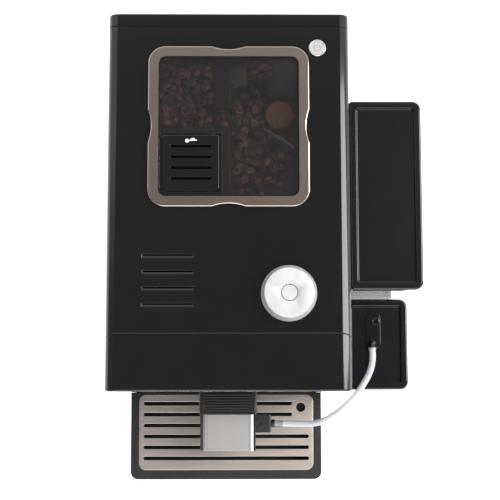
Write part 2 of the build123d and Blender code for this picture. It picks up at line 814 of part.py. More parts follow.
with BuildPart() as bean_hopper:
    rim_z = (hopper_ledge_z - hopper_wall, hopper_top)
    hopper_corner = opening_corner + hopper_gap
    rim = (grown(hopper_inner_x, hopper_wall), grown(hopper_inner_y, hopper_wall))
    block(*rim, rim_z, hopper_corner + hopper_wall)
    flange = (grown(hopper_inner_x, hopper_flange), grown(hopper_inner_y, hopper_flange))
    block(*flange, (hopper_top - hopper_wall, hopper_top), hopper_corner + hopper_flange)
    for arm in (rear_arm, front_trough):
        bean_arm(*arm, hopper_wall, Mode.ADD)
    floor_z = (throat_high, hopper_ledge_z)
    outer_low = (grown(sump_x, hopper_wall), grown(sump_y, hopper_wall))
    outer_high = (grown(bay_x, hopper_wall), grown(hopper_inner_y, hopper_wall))
    funnel(*outer_low, *outer_high, (throat_low, hopper_ledge_z), hopper_corner, hopper_corner)
    block(hopper_inner_x, hopper_inner_y, (hopper_ledge_z, hopper_top), hopper_corner, Mode.SUBTRACT)
    for arm in (rear_arm, front_trough):
        bean_arm(*arm, 0, Mode.SUBTRACT)
    funnel(sump_x, sump_y, bay_x, hopper_inner_y, floor_z, chute_corner, chute_corner, Mode.SUBTRACT)
    drum(throat_place, throat_radius, (throat_low, throat_high), Mode.SUBTRACT)
    chute_hole = (grown(chute_x, chute_clearance), grown(chute_y, chute_clearance))
    block(*chute_hole, rim_z, chute_corner, Mode.SUBTRACT)
keep(bean_hopper, "bean_hopper")

# Grinder guard: a domed brown disc over the throat, with a bean's crease across it
guard_radius = 16.5
guard_thickness = 5
guard_crease_width = 2.2
guard_crease_depth = 1.2
guard_leg_radius = 2
guard_leg_place = throat_radius + guard_leg_radius / 2
guard_lift = 8
guard_z = (throat_high + guard_lift, throat_high + guard_lift + guard_thickness)
with BuildPart() as grinder_guard:
    drum(throat_place, guard_radius, guard_z)
    fillet(grinder_guard.edges().sort_by(Axis.Z)[-1], guard_thickness / 2)
    with BuildSketch(Plane.XY.offset(guard_z[1])) as crease:
        with BuildLine():
            Spline(
                (throat_place[0] + guard_radius / 3, throat_place[1] + guard_radius),
                (throat_place[0], throat_place[1]),
                (throat_place[0] - guard_radius / 3, throat_place[1] - guard_radius),
            )
        trace(line_width=guard_crease_width)
    extrude(crease.sketch, amount=-guard_crease_depth, mode=Mode.SUBTRACT)
    for side in (-1, 1):
        leg_place = (throat_place[0] + side * guard_leg_place, throat_place[1])
        drum(leg_place, guard_leg_radius, (throat_high, guard_z[0]))
keep(grinder_guard, "grinder_guard")

# Powder chute: from under the flap down to the brew chamber
chute_outlet = 30
chute_neck_z = throat_high
chute_gap = 1
funnel_height = 5
chute_low_z = brew_top + funnel_height + chute_gap
chute_flange = 3
outlet_x_low = span(sum(chute_x) / 2, chute_outlet)
outlet_y_low = span(sum(chute_y) / 2, chute_outlet)
with BuildPart() as powder_chute:
    chute_top = lid_base_z[0] - seam
    block(chute_x, chute_y, (chute_neck_z, chute_top), chute_corner)
    block(
        grown(chute_x, chute_flange),
        grown(chute_y, chute_flange),
        (hopper_ledge_z, hopper_ledge_z + chute_wall),
        chute_corner,
    )
    funnel_outer = (outlet_x_low, outlet_y_low, chute_x, chute_y)
    funnel(*funnel_outer, (chute_low_z, chute_neck_z), chute_corner, chute_corner)
    inner_corner = chute_corner - chute_wall
    chute_bore = (grown(chute_x, -chute_wall), grown(chute_y, -chute_wall))
    block(*chute_bore, (chute_neck_z, chute_top), inner_corner, Mode.SUBTRACT)
    outlet_bore = (grown(outlet_x_low, -chute_wall), grown(outlet_y_low, -chute_wall))
    funnel(*outlet_bore, *chute_bore, (chute_low_z, chute_neck_z), inner_corner, inner_corner, Mode.SUBTRACT)
keep(powder_chute, "powder_chute")

# Knob: a turned aluminium ring on a fixed tube, with a push cap in its middle
knob_height = 14
knob_top_radius = 27
knob_groove = 0.6
cap_radius = 8.6
cap_travel = 1
tube_flange_radius = 17
tube_flange_thickness = 3
tube_depth = 12
knob_low = top + fit
knob_high = knob_low + knob_height
tube_bore = knob_tube_radius - knob_tube_wall
tube_drop = 6
tube_high = knob_high - tube_drop
cap_low = tube_high + cap_travel + fit
cap_stem_radius = tube_bore - sliding_fit
cap_stem_low = top - tube_depth + cap_travel
knob_skirt = 3
knob_ring_inset = 1
knob_ring_height = 1.4
with BuildPart() as knob_ring:
    with BuildSketch(Plane.XZ) as knob_profile:
        with BuildLine():
            Polyline(
                (knob_tube_radius + running_fit, knob_low),
                (knob_radius, knob_low),
                (knob_radius, knob_low + knob_skirt),
                (knob_radius - knob_ring_inset, knob_low + knob_skirt),
                (knob_radius - knob_ring_inset, knob_low + knob_skirt + knob_ring_height),
                (knob_radius, knob_low + knob_skirt + knob_ring_height),
                (knob_top_radius, knob_high),
                (cap_radius + knob_groove, knob_high),
                (cap_radius + knob_groove, tube_high + fit),
                (knob_tube_radius + running_fit, tube_high + fit),
                close=True,
            )
        make_face()
    revolve(Pos(*knob_place, 0) * knob_profile.sketch, axis=Axis((*knob_place, 0), (0, 0, 1)))
    fillet(knob_ring.edges().filter_by(GeomType.CIRCLE).group_by(Axis.Z)[-1], grid_edge)
keep(knob_ring, "knob_ring")

with BuildPart() as knob_tube:
    drum(knob_place, knob_tube_radius, (top - tube_depth, tube_high))
    flange_z = (top - shell - tube_flange_thickness, top - shell)
    drum(knob_place, tube_flange_radius, flange_z)
    drum(knob_place, tube_bore, (top - tube_depth, tube_high), Mode.SUBTRACT)
keep(knob_tube, "knob_tube")

with BuildPart() as knob_cap:
    drum(knob_place, cap_radius, (cap_low, knob_high))
    fillet(knob_cap.edges().group_by(Axis.Z)[-1], grid_edge)
    drum(knob_place, cap_stem_radius, (cap_stem_low, cap_low))
keep(knob_cap, "knob_cap")

encoder_size = 40
encoder_thickness = 8

# Power button: a cap that travels in a ring-shaped bezel
bezel_rise = 1.3
bezel_depth = 9
button_travel = 1.2
button_rise = 1.1
button_edge = 0.5
with BuildPart() as power_bezel:
    drum(button_place, bezel_tube, (top - bezel_depth, top))
    drum(button_place, bezel_radius, (top, top + bezel_rise))
    fillet(power_bezel.edges().group_by(Axis.Z)[-1], button_edge)
    drum(button_place, bezel_bore, (top - bezel_depth, top + bezel_rise), Mode.SUBTRACT)
keep(power_bezel, "power_bezel")

with BuildPart() as power_button:
    drum(button_place, button_radius, (top - bezel_depth + button_travel + fit, top + button_rise))
    fillet(power_button.edges().group_by(Axis.Z)[-1], button_edge)
keep(power_button, "power_button")

# Control switches: the knob's encoder and the power switch, against the ends of their tubes
switch_size = 16
with BuildPart() as control_switches:
    encoder_z = (top - tube_depth - encoder_thickness, top - tube_depth)
    block(span(knob_place[0], encoder_size), span(knob_place[1], encoder_size), encoder_z)
    switch_z = (top - bezel_depth - encoder_thickness, top - bezel_depth)
    block(span(button_place[0], switch_size), span(button_place[1], switch_size), switch_z)
keep(control_switches, "control_switches")

# Tank dock: a platform beside the body, with a lip round the tank's foot and a valve socket
dock_lip = 3
dock_recess = 5
tank_corner = 10
tank_inner_corner = 4
dock_top = foot_height + dock_height
valve_radius = 9
valve_length = 12
with BuildPart() as tank_dock:
    dock_x = (right, tank_right)
    block(dock_x, dock_y, (foot_height, dock_top))
    fillet(tank_dock.edges().filter_by(Axis.Z).group_by(Axis.X)[-1], tank_corner)
    recess = (grown(tank_x, -dock_lip), grown(dock_y, -dock_lip))
    block(*recess, (dock_top - dock_recess, dock_top), tank_inner_corner, Mode.SUBTRACT)
    socket_z = (dock_top - dock_recess - valve_length, dock_top)
    drum(valve_place, valve_radius + fit, socket_z, Mode.SUBTRACT)
    drum_along_x(valve_place[1], valve_axis_z, spigot_radius, (right - 2 * shell, right))
keep(tank_dock, "tank_dock")

# Water tank: an open clear box with a stepped foot; its valve plugs into the dock
tank_wall = 2.2
tank_foot_gap = 0.6
tank_lid_drop = 30
tank_lid_height = 14
tank_lid_high = top - tank_lid_drop
lid_split = tank_lid_high - tank_lid_height
tank_low = dock_top + fit
tank_foot_low = dock_top - dock_recess + fit
foot_x = grown(tank_x, -dock_lip - tank_foot_gap)
foot_y = grown(tank_y, -dock_lip - tank_foot_gap)
with BuildPart() as water_tank:
    side_block(tank_x, tank_y, (tank_low, lid_split), tank_inner_corner, tank_corner)
    block(foot_x, foot_y, (tank_foot_low, tank_low), tank_inner_corner)
    foot_hollow = (grown(foot_x, -tank_wall), grown(foot_y, -tank_wall))
    foot_hollow_z = (tank_foot_low + tank_wall, tank_low + tank_wall)
    block(*foot_hollow, foot_hollow_z, tank_inner_corner, Mode.SUBTRACT)
    side_block(
        grown(tank_x, -tank_wall),
        grown(tank_y, -tank_wall),
        (tank_low + tank_wall, lid_split),
        tank_inner_corner - tank_wall,
        tank_corner - tank_wall,
        Mode.SUBTRACT,
    )
    drum(valve_place, spigot_radius, (tank_foot_low, tank_foot_low + tank_wall), Mode.SUBTRACT)
keep(water_tank, "water_tank")

with BuildPart() as tank_valve:
    valve_low = tank_foot_low - valve_length + fit
    drum(valve_place, valve_radius, (valve_low, tank_foot_low))
    drum(valve_place, spigot_radius, (tank_foot_low, tank_foot_low + 2 * tank_wall))
    cap_z = (tank_foot_low + tank_wall, tank_foot_low + 2 * tank_wall)
    drum(valve_place, valve_radius - tank_wall, cap_z)
keep(tank_valve, "tank_valve")

# Vessel lids: a flat rim, a sloping wall down to a recessed floor, and a skirt inside the vessel
lid_rim = 7.8
lid_slope = 1.4
lid_recess = 3.4
lid_recess_corner = 4
lid_floor = 2
lid_skirt = 5
lid_skirt_wall = 1.6
lid_edge = 2.4


def vessel_lid(x, y, z, left_corner, right_corner):
    """A vessel's lid between two heights, with its skirt below."""
    side_block(x, y, z, left_corner, right_corner)
    skirt_x = grown(x, -tank_wall - fit)
    skirt_y = grown(y, -tank_wall - fit)
    skirt_z = (z[0] - lid_skirt, z[0])
    block(skirt_x, skirt_y, skirt_z, right_corner - tank_wall - fit)
    hollow_x = grown(skirt_x, -lid_skirt_wall)
    hollow_y = grown(skirt_y, -lid_skirt_wall)
    hollow_corner = right_corner - tank_wall - fit - lid_skirt_wall
    hollow_z = (skirt_z[0], z[1] - lid_recess - lid_floor)
    block(hollow_x, hollow_y, hollow_z, hollow_corner, Mode.SUBTRACT)
    floor_inset = lid_rim + lid_slope
    funnel(
        grown(x, -floor_inset),
        grown(y, -floor_inset),
        grown(x, -lid_rim),
        grown(y, -lid_rim),
        (z[1] - lid_recess, z[1]),
        lid_recess_corner - lid_slope,
        lid_recess_corner,
        Mode.SUBTRACT,
    )


with BuildPart() as tank_lid:
    vessel_lid(tank_x, tank_y, (lid_split + fit, tank_lid_high), tank_inner_corner, tank_corner)
    lid_rim_edges = tank_lid.faces().filter_by(Axis.Z).sort_by(Axis.Z)[-1].outer_wire().edges()
    fillet(lid_rim_edges, lid_edge)
keep(tank_lid, "tank_lid")

# Milk container: a clear jug that stands on the worktop beside the body, with a black lid
jug_side_gap = 3
jug_back_gap = 2.1
jug_width = 76.1
jug_depth = 108.2
jug_high = 201
milk_lid_high = 215
jug_left = right + jug_side_gap
jug_back = tank_front - jug_back_gap
jug_x = (jug_left, jug_left + jug_width)
jug_y = (jug_back - jug_depth, jug_back)
with BuildPart() as milk_jug:
    side_block(jug_x, jug_y, (0, jug_high), tank_inner_corner, tank_corner)
    side_block(
        grown(jug_x, -tank_wall),
        grown(jug_y, -tank_wall),
        (tank_wall, jug_high),
        tank_inner_corner - tank_wall,
        tank_corner - tank_wall,
        Mode.SUBTRACT,
    )
keep(milk_jug, "milk_jug")

# Milk lid: its raised spine carries a vent and the elbow that the hose fits
spine_width = 16.1
spine_depth = 41
spine_height = 4
spine_from_right = 32.7
spine_from_back = 17.1
spine_corner = 5
vent_radius = 2.7
vent_collar = 4.6
vent_rise = 1.2
vent_bore = 4
vent_shift = 2
vent_from_back = 8.9
elbow_radius = 4.5
elbow_shift = -3.4
elbow_from_back = 36.4
elbow_reach = 1.5
elbow_rise = 13
elbow_z = milk_lid_high + elbow_rise
dip_tube_radius = 3
dip_tube_gap = 6
spine_x_span = (jug_x[1] - spine_from_right - spine_width, jug_x[1] - spine_from_right)
spine_y_span = (jug_y[1] - spine_from_back - spine_depth, jug_y[1] - spine_from_back)
spine_x = sum(spine_x_span) / 2
vent_place = (spine_x + vent_shift, spine_y_span[1] - vent_from_back)
elbow_place = (spine_x + elbow_shift, spine_y_span[1] - elbow_from_back)
spine_top = milk_lid_high - lid_recess + spine_height
with BuildPart() as milk_lid:
    milk_lid_z = (jug_high + fit, milk_lid_high)
    vessel_lid(jug_x, jug_y, milk_lid_z, tank_inner_corner, tank_corner)
    fillet(milk_lid.faces().filter_by(Axis.Z).sort_by(Axis.Z)[-1].outer_wire().edges(), lid_edge)
    block(spine_x_span, spine_y_span, (milk_lid_high - lid_recess, spine_top), spine_corner)
    drum(vent_place, vent_collar, (spine_top, spine_top + vent_rise))
    drum(vent_place, vent_radius, (spine_top + vent_rise - vent_bore, spine_top + vent_rise), Mode.SUBTRACT)
    dip_bore_z = (milk_lid_high - lid_recess - lid_floor, spine_top)
    drum(elbow_place, dip_tube_radius + sliding_fit, dip_bore_z, Mode.SUBTRACT)
keep(milk_lid, "milk_lid")

with BuildPart() as milk_elbow:
    drum(elbow_place, elbow_radius, (spine_top, elbow_z))
    with Locations((*elbow_place, elbow_z)):
        Sphere(elbow_radius)
    elbow_y = (elbow_place[1] - elbow_radius - elbow_reach, elbow_place[1])
    drum_along_y(elbow_place[0], elbow_z, hose_diameter / 2, elbow_y)
    drum(elbow_place, dip_tube_radius, (tank_wall + dip_tube_gap, spine_top))
keep(milk_elbow, "milk_elbow")

# Milk hose: a limp silicone tube from the connector's barb to the elbow, chosen point by point
hose_start = (barb_x[1], hose_axis_y, hose_axis_z)
hose_end = (elbow_place[0], elbow_y[0], elbow_z)
hose_points = [
    hose_start,
    (40, hose_axis_y, hose_axis_z),
    (66, -190, 192),
    (97, -167, 211),
    (115, -143, 224),
    (elbow_place[0], -117, elbow_z),
    hose_end,
]
bend_share = 0.45
corners = [Vector(*point) for point in hose_points]
hose_radii = []
for before, corner, after in zip(corners, corners[1:], corners[2:]):
    half_turn = (corner - before).get_angle(after - corner) / 2
    shorter = min((corner - before).length, (after - corner).length)
    hose_radii.append(bend_share * shorter / tan(radians(half_turn)))
with BuildLine() as hose_path:
    FilletPolyline(*hose_points, radius=hose_radii)
with BuildPart() as milk_hose:
    with BuildSketch(Plane(hose_start, z_dir=corners[1] - corners[0])) as hose_section:
        Circle(hose_diameter / 2)
    sweep(hose_section.sketch, path=hose_path.line)
keep(milk_hose, "milk_hose")
hose_length = sum(edge.length for edge in hose_path.edges())
hose_area = pi * (hose_diameter / 2) ** 2
print("hose radii", [round(radius, 1) for radius in hose_radii])
print("hose length", round(hose_length, 1))
print("hose volume ratio", round(milk_hose.part.volume / (hose_length * hose_area), 4))

# Grinder: a housing under the hopper's throat, a fixed burr, a turning burr and its motor
housing_radius = 42
housing_wall = 5
housing_roof = 14
burr_radius = 34
burr_bore = 12
burr_thickness = 8
burr_gap = 0.6
motor_radius = 30
motor_flange = 6
housing_height = 52
motor_high = throat_low - housing_height
shaft_radius = 4
shaft_depth = 12
shelf_top = shelf_z + shelf_thickness
roof_low = throat_low - housing_roof
upper_burr_z = (roof_low - burr_thickness, roof_low)
lower_burr_z = (upper_burr_z[0] - burr_gap - burr_thickness, upper_burr_z[0] - burr_gap)
window_width = 16
with BuildPart() as grinder_housing:
    drum(throat_place, housing_radius, (motor_high, throat_low))
    drum(throat_place, housing_radius - housing_wall, (motor_high, roof_low), Mode.SUBTRACT)
    drum(throat_place, throat_radius, (roof_low, throat_low), Mode.SUBTRACT)
    window_reach = (throat_place[1] - housing_radius, throat_place[1] - burr_radius)
    block(span(throat_place[0], window_width), window_reach, lower_burr_z, mode=Mode.SUBTRACT)
keep(grinder_housing, "grinder_housing")

with BuildPart() as upper_burr:
    drum(throat_place, burr_radius, upper_burr_z)
    drum(throat_place, burr_bore, upper_burr_z, Mode.SUBTRACT)
keep(upper_burr, "upper_burr")

with BuildPart() as lower_burr:
    drum(throat_place, burr_radius, lower_burr_z)
    fillet(lower_burr.edges().sort_by(Axis.Z)[-1], burr_gap)
    drum(throat_place, shaft_radius, (motor_high - shaft_depth, lower_burr_z[0]))
keep(lower_burr, "lower_burr")

with BuildPart() as grinder_motor:
    drum(throat_place, motor_radius, (shelf_top, motor_high))
    drum(throat_place, housing_radius, (motor_high - motor_flange, motor_high))
    bore_z = (motor_high - shaft_depth - fit, motor_high)
    drum(throat_place, shaft_radius + running_fit, bore_z, Mode.SUBTRACT)
keep(grinder_motor, "grinder_motor")

# Brew unit: a frame on the base pan, a cylinder under its top plate and a piston on a drive
brew_wall = 4
cylinder_bore = 20
cylinder_wall = 4
cylinder_length = 70
piston_thickness = 10
piston_travel = 30
rod_radius = 6
drive_width = 32
drive_height = 70
rod_lift = 8
rod_low = base_top + rod_lift
cylinder_top = brew_top - brew_wall
piston_high = cylinder_top - piston_travel - piston_thickness
with BuildPart() as brew_frame:
    block(brew_x, brew_y, (base_top, brew_top))
    frame_hollow_z = (base_top + brew_wall, cylinder_top)
    block(grown(brew_x, -brew_wall), brew_y, frame_hollow_z, mode=Mode.SUBTRACT)
    drum(brew_place, cylinder_bore, (cylinder_top, brew_top), Mode.SUBTRACT)
keep(brew_frame, "brew_frame")

with BuildPart() as brew_cylinder:
    cylinder_z = (cylinder_top - cylinder_length, cylinder_top)
    drum(brew_place, cylinder_bore + cylinder_wall, cylinder_z)
    drum(brew_place, cylinder_bore, cylinder_z, Mode.SUBTRACT)
keep(brew_cylinder, "brew_cylinder")

with BuildPart() as brew_piston:
    drum(brew_place, cylinder_bore - sliding_fit, (piston_high - piston_thickness, piston_high))
    drum(brew_place, rod_radius, (rod_low, piston_high - piston_thickness))
keep(brew_piston, "brew_piston")

with BuildPart() as piston_drive:
    drive_z = (base_top + brew_wall, base_top + brew_wall + drive_height)
    block(span(brew_place[0], drive_width), span(brew_place[1], drive_width), drive_z)
    drum(brew_place, rod_radius + sliding_fit, drive_z, Mode.SUBTRACT)
keep(piston_drive, "piston_drive")

# Brew funnel: gathers ground coffee from the powder chute and, through its duct, from the burrs
funnel_wall = 2
duct_depth = 21
duct_x = span(throat_place[0], window_width + 2 * funnel_wall)
duct_back = throat_place[1] - housing_radius - fit
duct_y = (duct_back - duct_depth, duct_back)
funnel_x = (outlet_x_low[0] - funnel_wall, duct_x[1])
funnel_y = (brew_place[1] - cylinder_bore - funnel_wall, duct_back)
funnel_z = (brew_top, brew_top + funnel_height)
duct_bore_x = grown(duct_x, -funnel_wall)
with BuildPart() as brew_funnel:
    block(funnel_x, funnel_y, funnel_z)
    block(duct_x, duct_y, (funnel_z[0], roof_low))
    mouth = (span(brew_place[0], cylinder_bore), span(brew_place[1], cylinder_bore))
    open_top = (grown(funnel_x, -funnel_wall), grown(funnel_y, -funnel_wall))
    funnel(*mouth, *open_top, funnel_z, funnel_wall, funnel_wall, Mode.SUBTRACT)
    duct_bore_y = grown(duct_y, -funnel_wall)
    block(duct_bore_x, duct_bore_y, (funnel_z[1], roof_low - funnel_wall), mode=Mode.SUBTRACT)
    block(duct_bore_x, (duct_back - funnel_wall, duct_back), lower_burr_z, mode=Mode.SUBTRACT)
keep(brew_funnel, "brew_funnel")

# Water path: flow meter, pump on rubber mounts, boiler, and the pipes between them
meter_width = 34
meter_height = 36
meter_from_side = 50
meter_x = (right - meter_from_side, right - meter_from_side + meter_width)
meter_y = span(valve_place[1], meter_width)
pipe_rise = 21
pipe_z = base_top + pipe_rise
pump_width = 50
pump_depth = 80
pump_height = 50
pump_mount_height = 6
pump_mount_radius = 8
pump_from_side = 25
pump_lead = 14
pump_x = (left + pump_from_side, left + pump_from_side + pump_width)
pump_y = (valve_place[1] - pump_lead, valve_place[1] - pump_lead + pump_depth)
pump_low = base_top + pump_mount_height
pump_high = pump_low + pump_height
boiler_edge = 6
with BuildPart() as flow_meter:
    block(meter_x, meter_y, (base_top, base_top + meter_height))
keep(flow_meter, "flow_meter")

with BuildPart() as pump_mounts:
    for x in grown(pump_x, -2 * pump_mount_radius):
        for y in grown(pump_y, -2 * pump_mount_radius):
            drum((x, y), pump_mount_radius, (base_top, pump_low))
keep(pump_mounts, "pump_mounts")

with BuildPart() as water_pump:
    block(pump_x, pump_y, (pump_low, pump_high))
    fillet(water_pump.edges().filter_by(Axis.Y), boiler_edge)
keep(water_pump, "water_pump")

with BuildPart() as boiler:
    block(boiler_x, boiler_y, (shelf_top, shelf_top + boiler_height))
    fillet(boiler.edges().filter_by(Axis.Z), boiler_edge)
keep(boiler, "boiler")

hot_pipe_bend = 20
hot_pipe_rise = 45
hot_pipe_z = shelf_top + hot_pipe_rise
hot_pipe_start = (sum(boiler_x) / 2, boiler_y[0], hot_pipe_z)
hot_pipe_corner = (hot_pipe_start[0], brew_place[1], hot_pipe_z)
hot_pipe_end = (brew_x[0], brew_place[1], hot_pipe_z)
with BuildLine() as hot_path:
    FilletPolyline(hot_pipe_start, hot_pipe_corner, hot_pipe_end, radius=hot_pipe_bend)
with BuildPart() as water_pipes:
    drum_along_x(valve_place[1], valve_axis_z, pipe_radius, (meter_x[1], right - 2 * shell))
    drum_along_x(valve_place[1], pipe_z, pipe_radius, (pump_x[1], meter_x[0]))
    drum(riser_place, pipe_radius, (pump_high, shelf_top))
    with BuildSketch(Plane(hot_pipe_start, z_dir=(0, -1, 0))) as hot_section:
        Circle(pipe_radius)
    sweep(hot_section.sketch, path=hot_path.line)
keep(water_pipes, "water_pipes")

# Power board: stands on the shelf by the right panel
board_thickness = 2
board_depth = 100
board_height = 90
board_from_side = 14
board_setback = 60
board_y = (front + board_setback, front + board_setback + board_depth)
with BuildPart() as power_board:
    board_x = (right - board_from_side, right - board_from_side + board_thickness)
    block(board_x, board_y, (shelf_top, shelf_top + board_height))
    foot_x_span = (board_x[1], board_x[1] + boiler_edge)
    block(foot_x_span, board_y, (shelf_top, shelf_top + board_thickness))
keep(power_board, "power_board")

# Screws: pan heads under the base pan, along both sides
screw_radius = 3.5
screw_head = 1.5
screw_inset = 10
screw_rows = 4
screw_margin = 60
screw_pitch = (body_depth - 2 * screw_margin) / (screw_rows - 1)
with BuildPart() as base_screws:
    for x in (left + screw_inset, right - screw_inset):
        for row in range(screw_rows):
            place = (x, front + screw_margin + row * screw_pitch)
            drum(place, screw_radius, (foot_height - screw_head, foot_height))
keep(base_screws, "base_screws")
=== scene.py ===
"""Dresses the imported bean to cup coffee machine, piece by piece, and lights it from all round.

Everything is in metres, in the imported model's own frame: +Z up, the drip tray towards -Y, and
the water tank and the milk container on the +X side.
"""

import json
import math
import random

import bpy
from mathutils import Matrix, Vector

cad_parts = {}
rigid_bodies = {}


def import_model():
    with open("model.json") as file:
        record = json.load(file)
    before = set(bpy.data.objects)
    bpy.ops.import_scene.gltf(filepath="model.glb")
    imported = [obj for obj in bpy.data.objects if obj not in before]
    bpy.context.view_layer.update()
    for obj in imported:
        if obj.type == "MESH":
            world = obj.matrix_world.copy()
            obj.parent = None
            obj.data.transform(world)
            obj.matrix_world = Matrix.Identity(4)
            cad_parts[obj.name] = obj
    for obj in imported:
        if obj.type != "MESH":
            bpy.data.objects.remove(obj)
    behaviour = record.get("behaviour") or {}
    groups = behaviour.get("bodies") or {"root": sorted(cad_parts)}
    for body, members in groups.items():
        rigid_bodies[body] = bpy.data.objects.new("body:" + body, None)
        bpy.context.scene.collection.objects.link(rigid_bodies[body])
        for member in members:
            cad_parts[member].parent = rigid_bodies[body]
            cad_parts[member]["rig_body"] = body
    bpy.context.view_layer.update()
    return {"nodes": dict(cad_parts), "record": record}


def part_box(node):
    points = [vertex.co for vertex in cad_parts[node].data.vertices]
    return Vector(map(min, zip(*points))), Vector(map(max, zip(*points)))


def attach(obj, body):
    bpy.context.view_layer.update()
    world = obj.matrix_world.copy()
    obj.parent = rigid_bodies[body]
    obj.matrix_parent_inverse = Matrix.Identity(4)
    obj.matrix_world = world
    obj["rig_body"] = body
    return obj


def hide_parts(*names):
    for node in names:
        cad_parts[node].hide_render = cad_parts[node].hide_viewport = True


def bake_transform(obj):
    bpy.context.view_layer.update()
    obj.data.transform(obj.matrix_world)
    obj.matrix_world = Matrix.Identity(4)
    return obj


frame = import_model()

# Studio: a white floor that glows a little, under a pale dome that is dim straight above. A tall
# bright panel stands on the right and a dimmer one in front, and the left side is shaded.
# The camera stands almost straight above the machine, a little in front of its middle.
camera_place = (-0.0315, -0.1575, 1.6568)
camera_tilt = math.radians(6.87)
camera_roll = math.radians(-0.57)
camera_lens = 86.7
camera_sensor = 36
camera = bpy.data.objects.new("camera", bpy.data.cameras.new("camera"))
camera.data.lens = camera_lens
camera.data.sensor_width = camera_sensor
camera.matrix_world = (
    Matrix.Translation(camera_place)
    @ Matrix.Rotation(camera_tilt, 4, "X")
    @ Matrix.Rotation(camera_roll, 4, "Y")
)
bpy.context.scene.collection.objects.link(camera)
bpy.context.scene.camera = camera
bpy.context.scene.view_settings.view_transform = "Standard"


def shader_of(name):
    """A new material with its node tree and its surface shader."""
    material = bpy.data.materials.new(name)
    material.use_nodes = True
    tree = material.node_tree
    return material, tree, tree.nodes["Principled BSDF"]


floor_size = 14
floor_white = (0.9, 0.9, 0.9, 1)
floor_glow = 0.6
bpy.ops.mesh.primitive_plane_add(size=floor_size)
floor = bpy.context.object
floor.name = "floor"
floor_paint, _, floor_shader = shader_of("floor_paint")
floor_shader.inputs["Base Color"].default_value = floor_white
floor_shader.inputs["Roughness"].default_value = 0.9
floor_shader.inputs["Specular IOR Level"].default_value = 0.1
floor_shader.inputs["Emission Color"].default_value = floor_white
floor_shader.inputs["Emission Strength"].default_value = floor_glow
floor.data.materials.append(floor_paint)

dome = bpy.data.worlds.new("dome")
dome.use_nodes = True
dome_tree = dome.node_tree
dome_direction = dome_tree.nodes.new("ShaderNodeTexCoord")
dome_axes = dome_tree.nodes.new("ShaderNodeSeparateXYZ")
dome_tree.links.new(dome_direction.outputs["Generated"], dome_axes.inputs["Vector"])
to_right, to_rear, to_sky = dome_axes.outputs


def sky(operation, *values):
    """A sum on the dome's directions, from numbers and from other sums."""
    node = dome_tree.nodes.new("ShaderNodeMath")
    node.operation = operation
    for socket, value in zip(node.inputs, values):
        if isinstance(value, (int, float)):
            socket.default_value = value
        else:
            dome_tree.links.new(value, socket)
    return node.outputs["Value"]


def sky_rise(value, start, end):
    """Nought up to start, one from end on, and a straight rise between them."""
    node = dome_tree.nodes.new("ShaderNodeMapRange")
    node.inputs["From Min"].default_value = start
    node.inputs["From Max"].default_value = end
    dome_tree.links.new(value, node.inputs["Value"])
    return node.outputs["Result"]


def sky_band(value, start, end, edge):
    """One between start and end, with soft edges, and nought outside them."""
    return sky("MULTIPLY", sky_rise(value, start, start + edge), sky_rise(value, end, end - edge))


dome_ramp = dome_tree.nodes.new("ShaderNodeValToRGB")
dome_tree.links.new(to_sky, dome_ramp.inputs["Fac"])
dome_steps = [(0.0, 1.15), (0.5, 1.25), (0.88, 1.25), (0.955, 0.26), (1.0, 0.21)]
while len(dome_ramp.color_ramp.elements) < len(dome_steps):
    dome_ramp.color_ramp.elements.new(0.5)
for element, (height, light) in zip(dome_ramp.color_ramp.elements, dome_steps):
    element.position = height
    element.color = (light, light, light, 1)

# The right panel is a band of leaning directions, whose front end narrows to a point and whose
# lower edge climbs towards the rear, so that its reflection tapers at both ends of the rolled edge.
panel_light = 9.5
panel_leans = (13, 90)
panel_front = (24, -58)
panel_taper = (-0.015, 0.036)
panel_climb = -140
panel_climb_from = 0.06
panel_end = 0.26
panel_edge = 1.2
panel_fade = 0.01
front_light = 2
front_leans = (22, 84)
front_half = 0.4
front_edge = 0.04
front_fade = 2
shade_leans = (-95, -14)
shade_rise = (0.2, 0.08)
shade_height = (0.08, 0.16)
shade_share = 0.72
shade_fade = 4
to_lean = sky("DEGREES", sky("ARCTAN2", to_right, to_sky))
untapered = sky_rise(to_rear, *reversed(panel_taper))
climb = sky("MULTIPLY", sky("MAXIMUM", sky("SUBTRACT", to_rear, panel_climb_from), 0), panel_climb)
lean_low = sky("ADD", sky("MULTIPLY", untapered, panel_front[0]), panel_leans[0])
lean_high = sky("ADD", sky("MULTIPLY", untapered, panel_front[1]), panel_leans[1])
lean_high = sky("ADD", lean_high, climb)
over_low = sky_rise(sky("SUBTRACT", to_lean, lean_low), -panel_edge / 2, panel_edge / 2)
under_high = sky_rise(sky("SUBTRACT", lean_high, to_lean), -panel_edge / 2, panel_edge / 2)
panel_long = sky("MULTIPLY", sky_band(to_rear, panel_taper[0], panel_end, panel_fade), panel_light)
right_panel = sky("MULTIPLY", sky("MULTIPLY", over_low, under_high), panel_long)
front_lean = sky("DEGREES", sky("ARCTAN2", sky("MULTIPLY", to_rear, -1), to_sky))
front_band = sky("MULTIPLY", sky_band(front_lean, *front_leans, front_fade), front_light)
front_panel = sky("MULTIPLY", front_band, sky_band(to_right, -front_half, front_half, front_edge))
shade_side = sky_band(to_lean, *shade_leans, shade_fade)
shaded = sky("MULTIPLY", shade_side, sky_rise(to_rear, *shade_rise))
shade = sky("MULTIPLY", sky("MULTIPLY", shaded, sky_rise(to_sky, *shade_height)), -shade_share)
plain_sky = sky("MULTIPLY", dome_ramp.outputs["Color"], sky("ADD", shade, 1))
panels = sky("ADD", right_panel, front_panel)
dome_background = dome_tree.nodes["Background"]
dome_tree.links.new(sky("ADD", plain_sky, panels), dome_background.inputs["Strength"])
dome_background.inputs["Color"].default_value = (1, 1, 1, 1)
bpy.context.scene.world = dome

